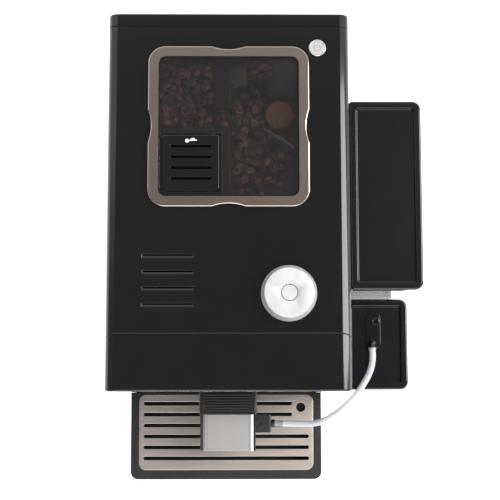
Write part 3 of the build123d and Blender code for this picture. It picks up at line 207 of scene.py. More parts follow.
# Milk hose: a limp, clear silicone tube of 7.6 mm, pushed on the spout's barb at one end and on
# the milk lid's elbow at the other. It leaves the spout to the right and climbs over to the lid.
hose_diameter = 0.0076
hose_route = [
    (0.010, -0.1916, 0.180),
    (0.041, -0.1925, 0.180),
    (0.070, -0.1915, 0.193),
    (0.101, -0.168, 0.212),
    (0.119, -0.143, 0.225),
    (0.1292, -0.119, 0.229),
    (0.12745, -0.1027, 0.228),
]
hose_steps = 10
hose_rounding = 5
hose_smooth = math.radians(50)
barb_reach = 0.0135
barb_fade = 0.0012
hose_streak = (160, 900, 900)
hose_clear = (0.68, 0.7, 0.73)
barb_black = (0.03, 0.03, 0.035)


def line_of(name, route, steps):
    """A smooth line through the air with a route's points as its control points."""
    data = bpy.data.curves.new(name, "CURVE")
    data.dimensions = "3D"
    data.resolution_u = steps
    spline = data.splines.new("NURBS")
    spline.points.add(len(route) - 1)
    for point, place in zip(spline.points, route):
        point.co = (*place, 1)
    spline.order_u = 3
    spline.use_endpoint_u = True
    curve = bpy.data.objects.new(name, data)
    bpy.context.scene.collection.objects.link(curve)
    return curve


def select_only(*pieces):
    """Selects these pieces alone and makes the first one active."""
    bpy.ops.object.select_all(action="DESELECT")
    for piece in pieces:
        piece.select_set(True)
    bpy.context.view_layer.objects.active = pieces[0]


hose = line_of("hose_line", hose_route, hose_steps)
hose_path = [tuple(v.co) for v in bpy.data.meshes.new_from_object(hose).vertices]
hose.name = "clear_hose"
hose.data.bevel_depth = hose_diameter / 2
hose.data.bevel_resolution = hose_rounding
hose.data.use_fill_caps = True
select_only(hose)
bpy.ops.object.convert(target="MESH")
bpy.ops.object.shade_smooth_by_angle(angle=hose_smooth)


def blended(tree, share, first, second):
    """The colour that a share takes from a first one to a second, each given or from the tree."""
    mix = tree.nodes.new("ShaderNodeMix")
    mix.data_type = "RGBA"
    tree.links.new(share, mix.inputs[0])
    for socket, colour in zip(mix.inputs[6:8], (first, second)):
        if isinstance(colour, tuple):
            socket.default_value = (*colour, 1)
        else:
            tree.links.new(colour, socket)
    return mix.outputs[2]


def clouded(tree, place, scale, detail, roughness=0.5):
    """The value of a noise at a place."""
    noise = tree.nodes.new("ShaderNodeTexNoise")
    noise.inputs["Scale"].default_value = scale
    noise.inputs["Detail"].default_value = detail
    noise.inputs["Roughness"].default_value = roughness
    tree.links.new(place, noise.inputs["Vector"])
    return noise.outputs["Fac"]


def stretched(tree, scale):
    """The place on a piece, stretched by its own scale along each axis."""
    place = tree.nodes.new("ShaderNodeTexCoord")
    mapping = tree.nodes.new("ShaderNodeMapping")
    mapping.inputs["Scale"].default_value = scale
    tree.links.new(place.outputs["Object"], mapping.inputs["Vector"])
    return mapping.outputs["Vector"]


hose_silicone, hose_tree, hose_shader = shader_of("hose_silicone")
hose_shader.inputs["Roughness"].default_value = 0.2
hose_shader.inputs["Specular IOR Level"].default_value = 0.6
hose_shader.inputs["Subsurface Weight"].default_value = 0.4
hose_shader.inputs["Subsurface Scale"].default_value = 0.004
hose_shader.inputs["Subsurface Radius"].default_value = (1, 1, 1)
hose_shader.inputs["Alpha"].default_value = 0.7
hose_place = hose_tree.nodes.new("ShaderNodeTexCoord")
hose_axes = hose_tree.nodes.new("ShaderNodeSeparateXYZ")
hose_ramp = hose_tree.nodes.new("ShaderNodeMapRange")
hose_ramp.inputs["From Min"].default_value = hose_route[0][0] + barb_reach
hose_ramp.inputs["From Max"].default_value = hose_route[0][0] + barb_reach - barb_fade
hose_streaks = clouded(hose_tree, stretched(hose_tree, hose_streak), scale=1, detail=3)
hose_dark = hose_tree.nodes.new("ShaderNodeMath")
hose_dark.operation = "MULTIPLY"
hose_colour = blended(hose_tree, hose_dark.outputs["Value"], hose_clear, barb_black)
hose_tree.links.new(hose_place.outputs["Object"], hose_axes.inputs["Vector"])
hose_tree.links.new(hose_axes.outputs["X"], hose_ramp.inputs["Value"])
hose_tree.links.new(hose_ramp.outputs["Result"], hose_dark.inputs[0])
hose_tree.links.new(hose_streaks, hose_dark.inputs[1])
hose_tree.links.new(hose_colour, hose_shader.inputs["Base Color"])
hose.data.materials.clear()
hose.data.materials.append(hose_silicone)
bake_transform(hose)
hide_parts("milk_hose")

# Collars of the hose: a black ring that grips it on the spout's barb, and a pale plastic ring round
# its other end, on the milk lid's elbow. Both are turned rings with eased edges.
collar_radius = 0.005
collar_width = 0.0036
collar_middle = (0.0113, -0.1916, 0.180)
ring_radius = 0.0045
ring_width = 0.0028
ring_middle = (0.12745, -0.1032, 0.228)
ring_edge = 0.0007
ring_sides = 40
ring_rim_share = 0.22
ring_dish_share = 0.06
ring_depth_share = 0.12
quarter = math.radians(90)
smooth_angle = math.radians(40)


def picked(piece, kind, test):
    """Opens a piece for editing, with its corners, edges or faces that pass a test selected."""
    if bpy.context.mode != "OBJECT":
        bpy.ops.object.mode_set(mode="OBJECT")
    select_only(piece)
    bpy.ops.object.mode_set(mode="EDIT")
    modes = {"vertices": "VERT", "edges": "EDGE", "polygons": "FACE"}
    bpy.ops.mesh.select_mode(type=modes[kind])
    bpy.ops.mesh.select_all(action="DESELECT")
    bpy.ops.object.mode_set(mode="OBJECT")
    for part in getattr(piece.data, kind):
        part.select = test(part)
    bpy.ops.object.mode_set(mode="EDIT")


def finished(piece, name, material, body, angle=smooth_angle):
    """Names a piece, puts its place into its mesh, shades it, and sets its finish and its body."""
    if piece.mode == "EDIT":
        bpy.ops.object.mode_set(mode="OBJECT")
    select_only(piece)
    piece.name = name
    bpy.ops.object.transform_apply(location=True, rotation=True, scale=True)
    bpy.ops.object.shade_smooth_by_angle(angle=angle)
    piece.data.materials.clear()
    piece.data.materials.append(material)
    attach(piece, body)


def eased(piece, width, steps, corner=math.radians(30), clamp=True):
    """Rounds those edges of a piece at which it turns by more than a corner's angle."""
    easing = piece.modifiers.new("easing", "BEVEL")
    easing.width = width
    easing.segments = steps
    easing.limit_method = "ANGLE"
    easing.angle_limit = corner
    easing.use_clamp_overlap = clamp
    bpy.ops.object.modifier_apply(modifier=easing.name)


def turned_ring(name, middle, axis_turn, radius, width, material, body):
    """A disc with eased rims and a dished face each side, across a hose."""
    bpy.ops.mesh.primitive_cylinder_add(
        vertices=ring_sides, radius=radius, depth=width, location=middle, rotation=axis_turn
    )
    piece = bpy.context.object
    picked(piece, "polygons", lambda face: len(face.vertices) > 4)
    bpy.ops.mesh.inset(thickness=radius * ring_rim_share)
    bpy.ops.mesh.inset(thickness=radius * ring_dish_share, depth=-width * ring_depth_share)
    bpy.ops.object.mode_set(mode="OBJECT")
    eased(piece, ring_edge, steps=3)
    finished(piece, name, material, body)


def surfaced(tree, shader, cloud, lines, dark, light, polish):
    """Gives a surface two colours mixed by a cloud, and a roughness between two by its lines."""
    span = tree.nodes.new("ShaderNodeMapRange")
    span.inputs["To Min"].default_value, span.inputs["To Max"].default_value = polish
    tree.links.new(blended(tree, cloud, dark, light), shader.inputs["Base Color"])
    tree.links.new(lines, span.inputs["Value"])
    tree.links.new(span.outputs["Result"], shader.inputs["Roughness"])


def raised(tree, shader, height, strength, relief):
    """Gives a surface fine relief from a height."""
    bump = tree.nodes.new("ShaderNodeBump")
    bump.inputs["Strength"].default_value = strength
    bump.inputs["Distance"].default_value = relief
    tree.links.new(height, bump.inputs["Height"])
    tree.links.new(bump.outputs["Normal"], shader.inputs["Normal"])


plastic_cloud = 34
plastic_relief = 0.0002


def plastic(name, dark, light, roughness, spread, grain, depth, specular=0.5):
    """Moulded plastic: two near colours, a roughness that wanders, and a fine grain."""
    material, tree, shader = shader_of(name)
    shader.inputs["Specular IOR Level"].default_value = specular
    place = tree.nodes.new("ShaderNodeTexCoord").outputs["Object"]
    cloud = clouded(tree, place, plastic_cloud, detail=5)
    surfaced(tree, shader, cloud, cloud, dark, light, (roughness - spread, roughness + spread))
    raised(tree, shader, clouded(tree, place, grain, detail=2), depth, plastic_relief)
    return material


grained_black = plastic(
    "grained_black", dark=(0.006, 0.006, 0.0065), light=(0.009, 0.009, 0.0095),
    roughness=0.42, spread=0.06, grain=2600, depth=0.25,
)
pale_grey = plastic(
    "pale_grey", dark=(0.34, 0.33, 0.32), light=(0.42, 0.41, 0.4),
    roughness=0.35, spread=0.05, grain=1500, depth=0.1,
)
turned_ring(
    "hose_collar", collar_middle, (0, quarter, 0), collar_radius, collar_width,
    grained_black, "spout",
)
turned_ring(
    "nozzle_ring", ring_middle, (quarter, 0, 0), ring_radius, ring_width,
    pale_grey, "chassis",
)

# Body shells: polished black plastic, moulded in one rolled section for the cover, the hood and
# the rear strip, with flat panels clipped in below. Their edges are eased by the mould.
shell_edge = 0.0004
shell_merge = 0.00001
shell_flat = math.radians(0.4)
shell_corner = math.radians(32)


def eased_copy(node, name, finish, edge=shell_edge, clamp=False):
    """A merged copy of a node with eased edges, which stands for the node and rides with it."""
    source = frame["nodes"][node]
    piece = bpy.data.objects.new(name, source.data.copy())
    bpy.context.scene.collection.objects.link(piece)
    select_only(piece)
    bpy.ops.object.mode_set(mode="EDIT")
    bpy.ops.mesh.select_all(action="SELECT")
    bpy.ops.mesh.customdata_custom_splitnormals_clear()
    bpy.ops.mesh.remove_doubles(threshold=shell_merge)
    bpy.ops.mesh.dissolve_limited(angle_limit=shell_flat)
    bpy.ops.object.mode_set(mode="OBJECT")
    if edge:
        eased(piece, edge, 2, shell_corner, clamp)
    bpy.ops.object.shade_smooth_by_angle(angle=smooth_angle)
    flatten = piece.modifiers.new("flatten", "WEIGHTED_NORMAL")
    flatten.keep_sharp = True
    bpy.ops.object.modifier_apply(modifier=flatten.name)
    piece.data.materials.clear()
    piece.data.materials.append(finish)
    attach(piece, source["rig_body"])
    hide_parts(node)
    return piece


polished_black = plastic(
    "polished_black", dark=(0.0055, 0.0055, 0.006), light=(0.007, 0.007, 0.0075),
    roughness=0.08, spread=0.03, grain=60, depth=0.03,
)
panel_black = plastic(
    "panel_black", dark=(0.0055, 0.0055, 0.006), light=(0.007, 0.007, 0.0075),
    roughness=0.16, spread=0.03, grain=60, depth=0.03, specular=0.22,
)
for node, name, finish in (
    ("top_cover", "cover_shell", polished_black),
    ("front_hood", "hood_shell", polished_black),
    ("rear_strip", "strip_shell", polished_black),
    ("left_panel", "left_side", panel_black),
    ("right_panel", "right_side", panel_black),
    ("front_panel", "fascia_shell", panel_black),
):
    eased_copy(node, name, finish)

# Display: a dark pane of tinted plastic, set flush in the hood and fixed from inside. It carries
# plain symbols, which are printed on with the other marks below.
display_glass, _, display_shader = shader_of("display_glass")
display_shader.inputs["Base Color"].default_value = (0.006, 0.006, 0.008, 1)
display_shader.inputs["Roughness"].default_value = 0.05
display_shader.inputs["Specular IOR Level"].default_value = 0.25
eased_copy("display_window", "display_pane", display_glass, edge=0.0003)

# Plain parts of the casing: matt moulded plastic with a fine grain, for the base pan, the rear
# panel, the inlet, the dock, the drawer and everything else that a hand seldom meets.
for node, name, edge in (
    ("base_pan", "base_plate", 0.0005),
    ("rear_panel", "rear_plate", 0.0004),
    ("mains_inlet", "inlet_socket", 0.0003),
    ("tank_dock", "dock_block", 0.0006),
    ("tank_valve", "valve_body", 0.0003),
    ("grounds_bin", "bin_box", 0.0006),
    ("drip_tray", "tray_basin", 0.0006),
    ("drip_float", "float_body", 0.0004),
    ("outlet_block", "outlet_body", 0.0004),
    ("milk_connector", "connector_body", 0.0005),
    ("spout_carriage", "carriage_body", 0.0003),
):
    eased_copy(node, name, grained_black, edge)

# Bean lid: a brushed bronze frame pressed from sheet, round a smoked pane of clear plastic. The lid
# sits on a seal of black rubber, and the same rubber makes the machine's feet.
metal_relief = 0.0001
metal_lines = 0.65


def metal(name, dark, light, roughness, spread, stretch, depth, metallic=1):
    """Brushed metal: fine lines stretched along one axis in colour, polish and height."""
    material, tree, shader = shader_of(name)
    shader.inputs["Metallic"].default_value = metallic
    lines = clouded(tree, stretched(tree, stretch), scale=1, detail=6, roughness=metal_lines)
    surfaced(tree, shader, lines, lines, dark, light, (roughness - spread, roughness + spread))
    raised(tree, shader, lines, depth, metal_relief)
    return material


satin_bronze = metal(
    "satin_bronze", dark=(0.53, 0.443, 0.388), light=(0.64, 0.54, 0.476),
    roughness=0.14, spread=0.02, stretch=(30, 1500, 30), depth=0.03,
)
eased_copy("lid_frame", "bronze_frame", satin_bronze, edge=0.0005, clamp=True)

smoked_clear, _, smoked_shader = shader_of("smoked_clear")
smoked_shader.inputs["Base Color"].default_value = (0.022, 0.021, 0.0215, 1)
smoked_shader.inputs["Roughness"].default_value = 0.08
smoked_shader.inputs["Alpha"].default_value = 0.45
eased_copy("lid_window", "smoked_pane", smoked_clear, edge=0.0003)

soft_rubber = plastic(
    "soft_rubber", dark=(0.012, 0.012, 0.012), light=(0.018, 0.018, 0.018),
    roughness=0.7, spread=0.08, grain=1500, depth=0.2,
)
eased_copy("lid_seal", "seal_ring", soft_rubber, edge=0)
eased_copy("rubber_feet", "foot_pads", soft_rubber, edge=0.0008)

# Powder flap: satin black plastic with finger grooves moulded in, whose insides are painted a dull
# black as painted shade. It turns on two pins in the lid's base, a ring of the same plastic, and
# closes the powder chute under it.
satin_black = plastic(
    "satin_black", dark=(0.0055, 0.0055, 0.006), light=(0.007, 0.007, 0.0075),
    roughness=0.1, spread=0.03, grain=900, depth=0.05,
)
flap = eased_copy("powder_flap", "flap_plate", satin_black)
# Painted shade: a flat, dull black with no gloss, for the insides of the grooves where shade falls.
painted_shade_black, _, groove_shader = shader_of("painted_shade_black")
groove_shader.inputs["Base Color"].default_value = (0.003, 0.003, 0.003, 1)
groove_shader.inputs["Roughness"].default_value = 0.8
groove_shader.inputs["Specular IOR Level"].default_value = 0
flap.data.materials.append(painted_shade_black)
flap_low, flap_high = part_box("powder_flap")
groove_margin = 0.007
groove_start = 0.00045
groove_end = 0.0018
# The faces inside the grooves take the painted shade black.
for face in flap.data.polygons:
    middle = face.center
    inside = flap_low.x + groove_margin < middle.x < flap_high.x - groove_margin
    inside = inside and flap_low.y + groove_margin < middle.y < flap_high.y - groove_margin
    if inside and groove_start < flap_high.z - middle.z < groove_end:
        face.material_index = 1

for node, name in (("lid_base", "lid_base_ring"), ("powder_chute", "chute_tube")):
    eased_copy(node, name, satin_black, edge=0.0003)

# Printed marks: thin layers of white or grey ink on the flap, the power button and the display.
# Each is cut from flat discs, bars and rings, and lies on the surface that carries it.
ink = 0.00012
disc_sides = 28


def flat_disc(across, up, radius):
    """A flat, filled circle."""
    bpy.ops.mesh.primitive_circle_add(
        vertices=disc_sides, radius=radius, fill_type="NGON", location=(across, up, 0)
    )
    return bpy.context.object


def printed(name, plane, discs, bars, rings, material, body):
    """Flat ink on a plane, in discs, bars and rings.

    A disc is its place across and up and its radius, and a bar its place, length, height and turn.
    A ring is its place, radius and line, and the height in radii above which it is left open.
    """
    parts = [flat_disc(*disc) for disc in discs]
    for across, up, long, high, turn in bars:
        bpy.ops.mesh.primitive_plane_add(size=1, location=(across, up, 0), rotation=(0, 0, turn))
        bar = bpy.context.object
        bar.scale = (long, high, 1)
        parts.append(bar)
    for across, up, radius, line, gap in rings:
        ring = flat_disc(across, up, radius)
        picked(ring, "polygons", lambda face: True)
        bpy.ops.mesh.inset(thickness=line)
        bpy.ops.mesh.delete(type="FACE")
        picked(ring, "polygons", lambda face: face.center.y > radius * gap)
        bpy.ops.mesh.delete(type="FACE")
        bpy.ops.object.mode_set(mode="OBJECT")
        parts.append(ring)
    select_only(*parts)
    bpy.ops.object.transform_apply(location=True, rotation=True, scale=True)
    if len(parts) > 1:
        bpy.ops.object.join()
    mark = bpy.context.object
    thickness = mark.modifiers.new("thickness", "SOLIDIFY")
    thickness.thickness = ink
    thickness.offset = 0
    bpy.ops.object.modifier_apply(modifier=thickness.name)
    mark.matrix_world = plane
    finished(mark, name, material, body)


white_ink = plastic(
    "white_ink", dark=(0.7, 0.7, 0.7), light=(0.8, 0.8, 0.8),
    roughness=0.5, spread=0.05, grain=3000, depth=0.1,
)
grey_ink = plastic(
    "grey_ink", dark=(0.2, 0.2, 0.2), light=(0.24, 0.24, 0.24),
    roughness=0.5, spread=0.05, grain=3000, depth=0.1,
)
spoon_plane = Matrix.Translation((-0.0876, 0.1208, flap_high.z))
spoon_discs = [
    (0, 0, 0.0021),
    (0.0044, 0.0018, 0.0007),
    (0.0061, 0.0023, 0.0009),
    (0.0078, 0.0018, 0.0008),
]
spoon_handle = [(0.006, 0.0005, 0.0098, 0.0011, math.radians(2))]
printed("spoon_mark", spoon_plane, spoon_discs, spoon_handle, [], white_ink, "flap")

button_low, button_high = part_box("power_button")
button_middle = (button_low + button_high) / 2
power_plane = Matrix.Translation((button_middle.x, button_middle.y, button_high.z))
power_ring = [(0, 0, 0.0042, 0.0007, 0.82)]
power_bar = [(0, 0.0032, 0.0007, 0.0034, 0)]
printed(
    "power_mark", power_plane, [], power_bar, power_ring,
    grey_ink, "power_key",
)

display_low, display_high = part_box("display_window")
display_middle = (display_low + display_high) / 2
display_place = Matrix.Translation((display_middle.x, display_low.y, display_middle.z))
display_plane = display_place @ Matrix.Rotation(quarter, 4, "X")
cup_pitch = 0.026
cup_sizes = (0.0034, 0.0042, 0.005, 0.0058, 0.0066)
cup_height = 0.007
cup_line = 0.0006
cup_open = 0
saucer_drop = 0.0013
saucer_span = 2.3
steam_step = 0.45
steam_rise = 0.0029
steam_long = 0.0024
handle_out = 1.31
handle_drop = 0.3
handle_span = 0.36
handle_line = 0.0005
handle_open = 2
key_height = -0.014
key_long = 0.012
cup_bars = []
cup_rings = []
for place, size in enumerate(cup_sizes):
    across = (place - len(cup_sizes) // 2) * cup_pitch
    saucer_height = cup_height - size - saucer_drop
    handle_place = (across + handle_out * size, cup_height - handle_drop * size)
    cup_bars.append((across, cup_height, 2 * size, cup_line, 0))
    cup_bars.append((across, saucer_height, saucer_span * size, cup_line, 0))
    for side in (-1, 0, 1):
        steam_place = (across + side * steam_step * size, cup_height + steam_rise)
        cup_bars.append((*steam_place, cup_line, steam_long, 0))
    cup_bars.append((across, key_height, key_long, cup_line, 0))
    cup_rings.append((across, cup_height, size, cup_line, cup_open))
    cup_rings.append((*handle_place, handle_span * size, handle_line, handle_open))
printed(
    "display_marks", display_plane, [], cup_bars, cup_rings,
    white_ink, "chassis",
)

# Bean hopper: a bowl of dark moulded plastic, held in the top cover. A domed brown guard with a
# bean's crease across it stands on legs over its throat.
hopper_black = plastic(
    "hopper_black", dark=(0.014, 0.014, 0.015), light=(0.02, 0.02, 0.021),
    roughness=0.3, spread=0.05, grain=700, depth=0.1,
)
eased_copy("bean_hopper", "hopper_bowl", hopper_black)
guard_brown = plastic(
    "guard_brown", dark=(0.42, 0.155, 0.085), light=(0.60, 0.24, 0.135),
    roughness=0.4, spread=0.05, grain=300, depth=0.4,
)
eased_copy("grinder_guard", "guard_disc", guard_brown, edge=0.0003)

# Hopper trims: a fine bead along the edge of the chute housing and round the right bay, in a grey
# lighter than the hopper as painted highlight on its edges, a dark fin behind the guard as painted
# shadow, a paler one in front of it as painted highlight, and a pale plate as painted reflection on
# the hopper's floor. The beads are moulded with the hopper.
# Painted highlight: a grey lighter than the hopper, for the lit edges of its beads and for a patch
# of reflection.
painted_highlight_grey = plastic(
    "painted_highlight_grey", dark=(0.06, 0.06, 0.062), light=(0.08, 0.08, 0.082),
    roughness=0.35, spread=0.05, grain=900, depth=0.1,
)
bead_width = 0.001
bead_span = (0.3355, 0.3366)
bead_ends = (
    ("chute_bead_rear", (-0.1215, 0.1374), (-0.0590, 0.1374)),
    ("chute_bead_corner", (-0.0590, 0.1374), (-0.0500, 0.1284)),
    ("chute_bead_side", (-0.0500, 0.1284), (-0.0500, 0.0600)),
    ("bay_bead_side", (-0.0410, 0.1366), (-0.0410, 0.0685)),
    ("bay_bead_corner", (-0.0410, 0.0685), (-0.0330, 0.0605)),
    ("bay_bead_front", (-0.0330, 0.0605), (0.0345, 0.0605)),
)
beads = [(*ends, bead_width, bead_span, painted_highlight_grey, "hopper_black") for ends in bead_ends]
fin_edge = 0.0003
fins = (
    # A dark fin for a painted shadow line behind the guard, and a paler one for a painted highlight
    # line in front of it.
    (
        "painted_shadow_fin", (-0.0200, 0.1990), (0.0055, 0.1700),
        0.0017, (0.322, 0.3425), painted_shade_black, "rubber_black",
    ),
    (
        "painted_highlight_fin", (-0.0024, 0.1388), (0.0311, 0.1177),
        0.0012, (0.322, 0.3372), pale_grey, "hopper_black",
    ),
    # A pale block where the hopper's floor shows a reflection: a painted reflection.
    (
        "painted_reflection_plate", (-0.0305, 0.1880), (-0.0305, 0.2140),
        0.0180, (0.3150, 0.3352), painted_highlight_grey, "hopper_black",
    ),
)
for name, start, end, thick, (foot, top), material, slot_name in (*beads, *fins):
    run = Vector(end) - Vector(start)
    middle = (*((Vector(start) + Vector(end)) / 2), (foot + top) / 2)
    heading = (0, 0, math.atan2(run.y, run.x))
    bpy.ops.mesh.primitive_cube_add(size=1, location=middle, rotation=heading)
    fin = bpy.context.object
    fin.scale = (run.length, thick, top - foot)
    bpy.ops.object.transform_apply(location=True, rotation=True, scale=True)
    eased(fin, fin_edge, steps=2)
    finished(fin, name, material, "chassis")

# Coffee beans: dark roasted, each with a crease along its flat side, lying in the hopper's arms as
# they fell. They are loose, and fill it to a little under its rim.
random.seed(11)
bean_long = 0.0054
bean_wide = 0.0038
bean_deep = 0.0027
bean_sides = 12
bean_rings = 5
bean_flat_from = 0.3
bean_flat = 0.72
bean_crease = 0.0012
crease_width = 0.0001
crease_span = 0.96
bean_room = 0.0034
bean_nesting = 0.8
bean_tip = 0.35
bean_roll = 0.3
bean_upturned = 0.4
bean_scales = (0.88, 1.1)
bean_smooth = math.radians(60)
roast_bias = 2.2
drop_height = 0.36
guard_gap = 0.0045
beans_in_each = (
    ((-0.1195, -0.0615), (0.1425, 0.2155), 175, 0.3385),
    ((-0.062, 0.000), (0.1415, 0.158), 44, 0.332),
    ((-0.0365, 0.0355), (0.0605, 0.2155), 300, 0.3365),
)
bare_patches = (
    ((-0.041, -0.0185), (0.188, 0.220)),
    ((0.008, 0.040), (0.180, 0.220)),
    ((-0.001, 0.040), (0.055, 0.074)),
    ((0.016, 0.040), (0.055, 0.094)),
)
bowl = bpy.data.objects["hopper_bowl"]
guard_low, guard_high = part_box("grinder_guard")
guard_middle = (guard_low + guard_high) / 2
guard_room = (guard_high.x - guard_low.x) / 2 + guard_gap


def on_crease(corner):
    """Says whether a corner lies along the middle of a bean's flat side."""
    along = abs(corner.co.y) < crease_width and abs(corner.co.x) < bean_long * crease_span
    return corner.co.z > 0 and along


bpy.ops.mesh.primitive_uv_sphere_add(segments=bean_sides, ring_count=bean_rings, radius=1)
bean = bpy.context.object
picked(bean, "vertices", lambda corner: True)
bpy.ops.transform.rotate(value=quarter, orient_axis="Y", center_override=(0, 0, 0))
bpy.ops.transform.resize(value=(bean_long, bean_wide, bean_deep), center_override=(0, 0, 0))
picked(bean, "vertices", lambda corner: corner.co.z > bean_deep * bean_flat_from)
bpy.ops.transform.resize(value=(1, 1, bean_flat), center_override=(0, 0, 0))
picked(bean, "vertices", on_crease)
bpy.ops.transform.translate(value=(0, 0, -bean_crease))
bpy.ops.object.mode_set(mode="OBJECT")
crease = bean.data.attributes.new("crease", "FLOAT", "POINT")
for corner, value in zip(bean.data.vertices, crease.data):
    value.value = 1.0 if corner.select else 0.0

fallen = []
for across, along, count, fill in beans_in_each:
    for _ in range(count):
        x, y = random.uniform(*across), random.uniform(*along)
        if math.hypot(x - guard_middle.x, y - guard_middle.y) < guard_room:
            continue
        in_patch = [
            left < x < right and front < y < rear
            for (left, right), (front, rear) in bare_patches
        ]
        if any(in_patch):
            continue
        found, landing, _, _ = bowl.ray_cast((x, y, drop_height), (0, 0, -1))
        if not found or landing.z > fill:
            continue
        z = landing.z + bean_deep
        for other in fallen:
            gap = math.hypot(x - other.x, y - other.y)
            if gap < 2 * bean_room:
                z = max(z, other.z + bean_nesting * math.sqrt(4 * bean_room**2 - gap**2))
        if z > fill:
            continue
        fallen.append(Vector((x, y, z)))
pile = []
for place in fallen:
    one = bpy.data.objects.new("bean", bean.data.copy())
    tip = Matrix.Rotation(random.gauss(0, bean_tip), 4, "Y")
    roll = random.gauss(0, bean_roll) + (math.pi if random.random() < bean_upturned else 0)
    spin = Matrix.Rotation(random.uniform(0, 2 * math.pi), 4, "Z")
    turn = spin @ tip @ Matrix.Rotation(roll, 4, "X")
    size = Matrix.Scale(random.uniform(*bean_scales), 4)
    one.data.transform(Matrix.Translation(place) @ turn @ size)
    roast = one.data.attributes.new("roast", "FLOAT", "POINT")
    paleness = random.random() ** roast_bias
    for value in roast.data:
        value.value = paleness
    bpy.context.scene.collection.objects.link(one)
    pile.append(one)
bpy.data.objects.remove(bean)
select_only(*pile)
bpy.ops.object.join()
beans = bpy.context.object

roasted, roast_tree, roast_shader = shader_of("roasted_beans")
roast_shader.inputs["Roughness"].default_value = 0.38
roast_value = roast_tree.nodes.new("ShaderNodeAttribute")
roast_value.attribute_name = "roast"
# Painted shade: each bean is coloured darker along its crease, where shade falls.
crease_shade_value = roast_tree.nodes.new("ShaderNodeAttribute")
crease_shade_value.attribute_name = "crease"
roast_dark = (0.068, 0.036, 0.026)
roast_light = (0.36, 0.155, 0.065)
crease_painted_shade = (0.03, 0.014, 0.009)
roast_colour = blended(roast_tree, roast_value.outputs["Fac"], roast_dark, roast_light)
bean_colour = blended(roast_tree, crease_shade_value.outputs["Fac"], roast_colour, crease_painted_shade)
roast_tree.links.new(bean_colour, roast_shader.inputs["Base Color"])
roast_place = roast_tree.nodes.new("ShaderNodeTexCoord").outputs["Object"]
roast_mottle = clouded(roast_tree, roast_place, scale=700, detail=4)
raised(roast_tree, roast_shader, roast_mottle, strength=0.35, relief=0.0003)
finished(beans, "coffee_beans", roasted, "chassis", bean_smooth)

# Knob: an aluminium ring turned on a lathe, which leaves fine circles on its face, and a cap in its
# middle. The outer side of the ring is brushed round and duller than the face, and is also painted
# darker than it as painted shade.
knob_edge = 0.0008
knob_face = 0.02
knob_slack = 0.00002
shaded_skirt_slope = 0.6
knob_low, knob_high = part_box("knob_ring")
knob_middle = (knob_low + knob_high) / 2
turned_aluminium, knob_tree, knob_shader = shader_of("turned_aluminium")
knob_shader.inputs["Metallic"].default_value = 1
knob_place = knob_tree.nodes.new("ShaderNodeTexCoord").outputs["Object"]
knob_centre = knob_tree.nodes.new("ShaderNodeMapping")
knob_centre.inputs["Location"].default_value = (-knob_middle.x, -knob_middle.y, 0)
knob_rings = knob_tree.nodes.new("ShaderNodeTexWave")
knob_rings.wave_type = "RINGS"
knob_rings.rings_direction = "Z"
knob_rings.inputs["Scale"].default_value = 900
knob_rings.inputs["Distortion"].default_value = 0.6
knob_tree.links.new(knob_place, knob_centre.inputs["Vector"])
knob_tree.links.new(knob_centre.outputs["Vector"], knob_rings.inputs["Vector"])
knob_lines = knob_rings.outputs["Fac"]
knob_cloud = clouded(knob_tree, knob_place, scale=38, detail=2)
knob_dark = (0.48, 0.48, 0.478)
knob_light = (0.78, 0.78, 0.775)
knob_polish = (0.4, 0.5)
surfaced(knob_tree, knob_shader, knob_cloud, knob_lines, knob_dark, knob_light, knob_polish)
raised(knob_tree, knob_shader, knob_lines, strength=0.08, relief=metal_relief)
knob = eased_copy("knob_ring", "knob_turned", turned_aluminium, edge=0)


def on_knob_top(edge):
    """Says whether an edge lies on the knob's flat top, along its outer circle."""
    ends = [knob.data.vertices[index].co for index in edge.vertices]
    spans = [math.hypot(end.x - knob_middle.x, end.y - knob_middle.y) for end in ends]
    on_circle = min(spans) > knob_face and abs(spans[0] - spans[1]) < knob_slack
    return on_circle and min(end.z for end in ends) > knob_high.z - knob_slack


picked(knob, "edges", on_knob_top)
bpy.ops.mesh.bevel(offset=knob_edge, segments=4, affect="EDGES", clamp_overlap=True)
bpy.ops.object.mode_set(mode="OBJECT")
bpy.ops.object.shade_smooth_by_angle(angle=smooth_angle)
# Painted shade: the knob's sideways faces take a darker, less metallic copy of its aluminium; the
# round brushing and duller polish are real.
skirt_shaded_silver = metal(
    "skirt_shaded_silver", dark=(0.43, 0.43, 0.43), light=(0.52, 0.52, 0.52),
    roughness=0.5, spread=0.05, stretch=(60, 60, 2500), depth=0.1, metallic=0.35,
)
knob.data.materials.append(skirt_shaded_silver)
# The faces that lean sideways take the painted shade.
for face in knob.data.polygons:
    if abs(face.normal.z) < shaded_skirt_slope:
        face.material_index = 1
eased_copy("knob_cap", "knob_centre", turned_aluminium, clamp=True)

# Power button: a small cap of silver-white plastic, in a bright metal ring that is pressed into the
# top cover.
button_silver = plastic(
    "button_silver", dark=(0.42, 0.405, 0.39), light=(0.48, 0.465, 0.45),
    roughness=0.3, spread=0.05, grain=1200, depth=0.1,
)
eased_copy("power_button", "button_cap", button_silver, edge=0.0002)
bright_ring = metal(
    "bright_ring", dark=(0.8, 0.8, 0.8), light=(0.86, 0.86, 0.86),
    roughness=0.25, spread=0.04, stretch=(800, 800, 800), depth=0.05,
)
eased_copy("power_bezel", "button_ring", bright_ring, edge=0.0002)

# Spout cover: a sleeve folded from satin stainless steel, with rolled sides. It is clipped over the
# black carriage that slides up and down.
satin_steel = metal(
    "satin_steel", dark=(0.5, 0.475, 0.465), light=(0.57, 0.545, 0.535),
    roughness=0.38, spread=0.05, stretch=(40, 1600, 40), depth=0.08,
)
eased_copy("spout_cover", "spout_sleeve", satin_steel, edge=0.0003)

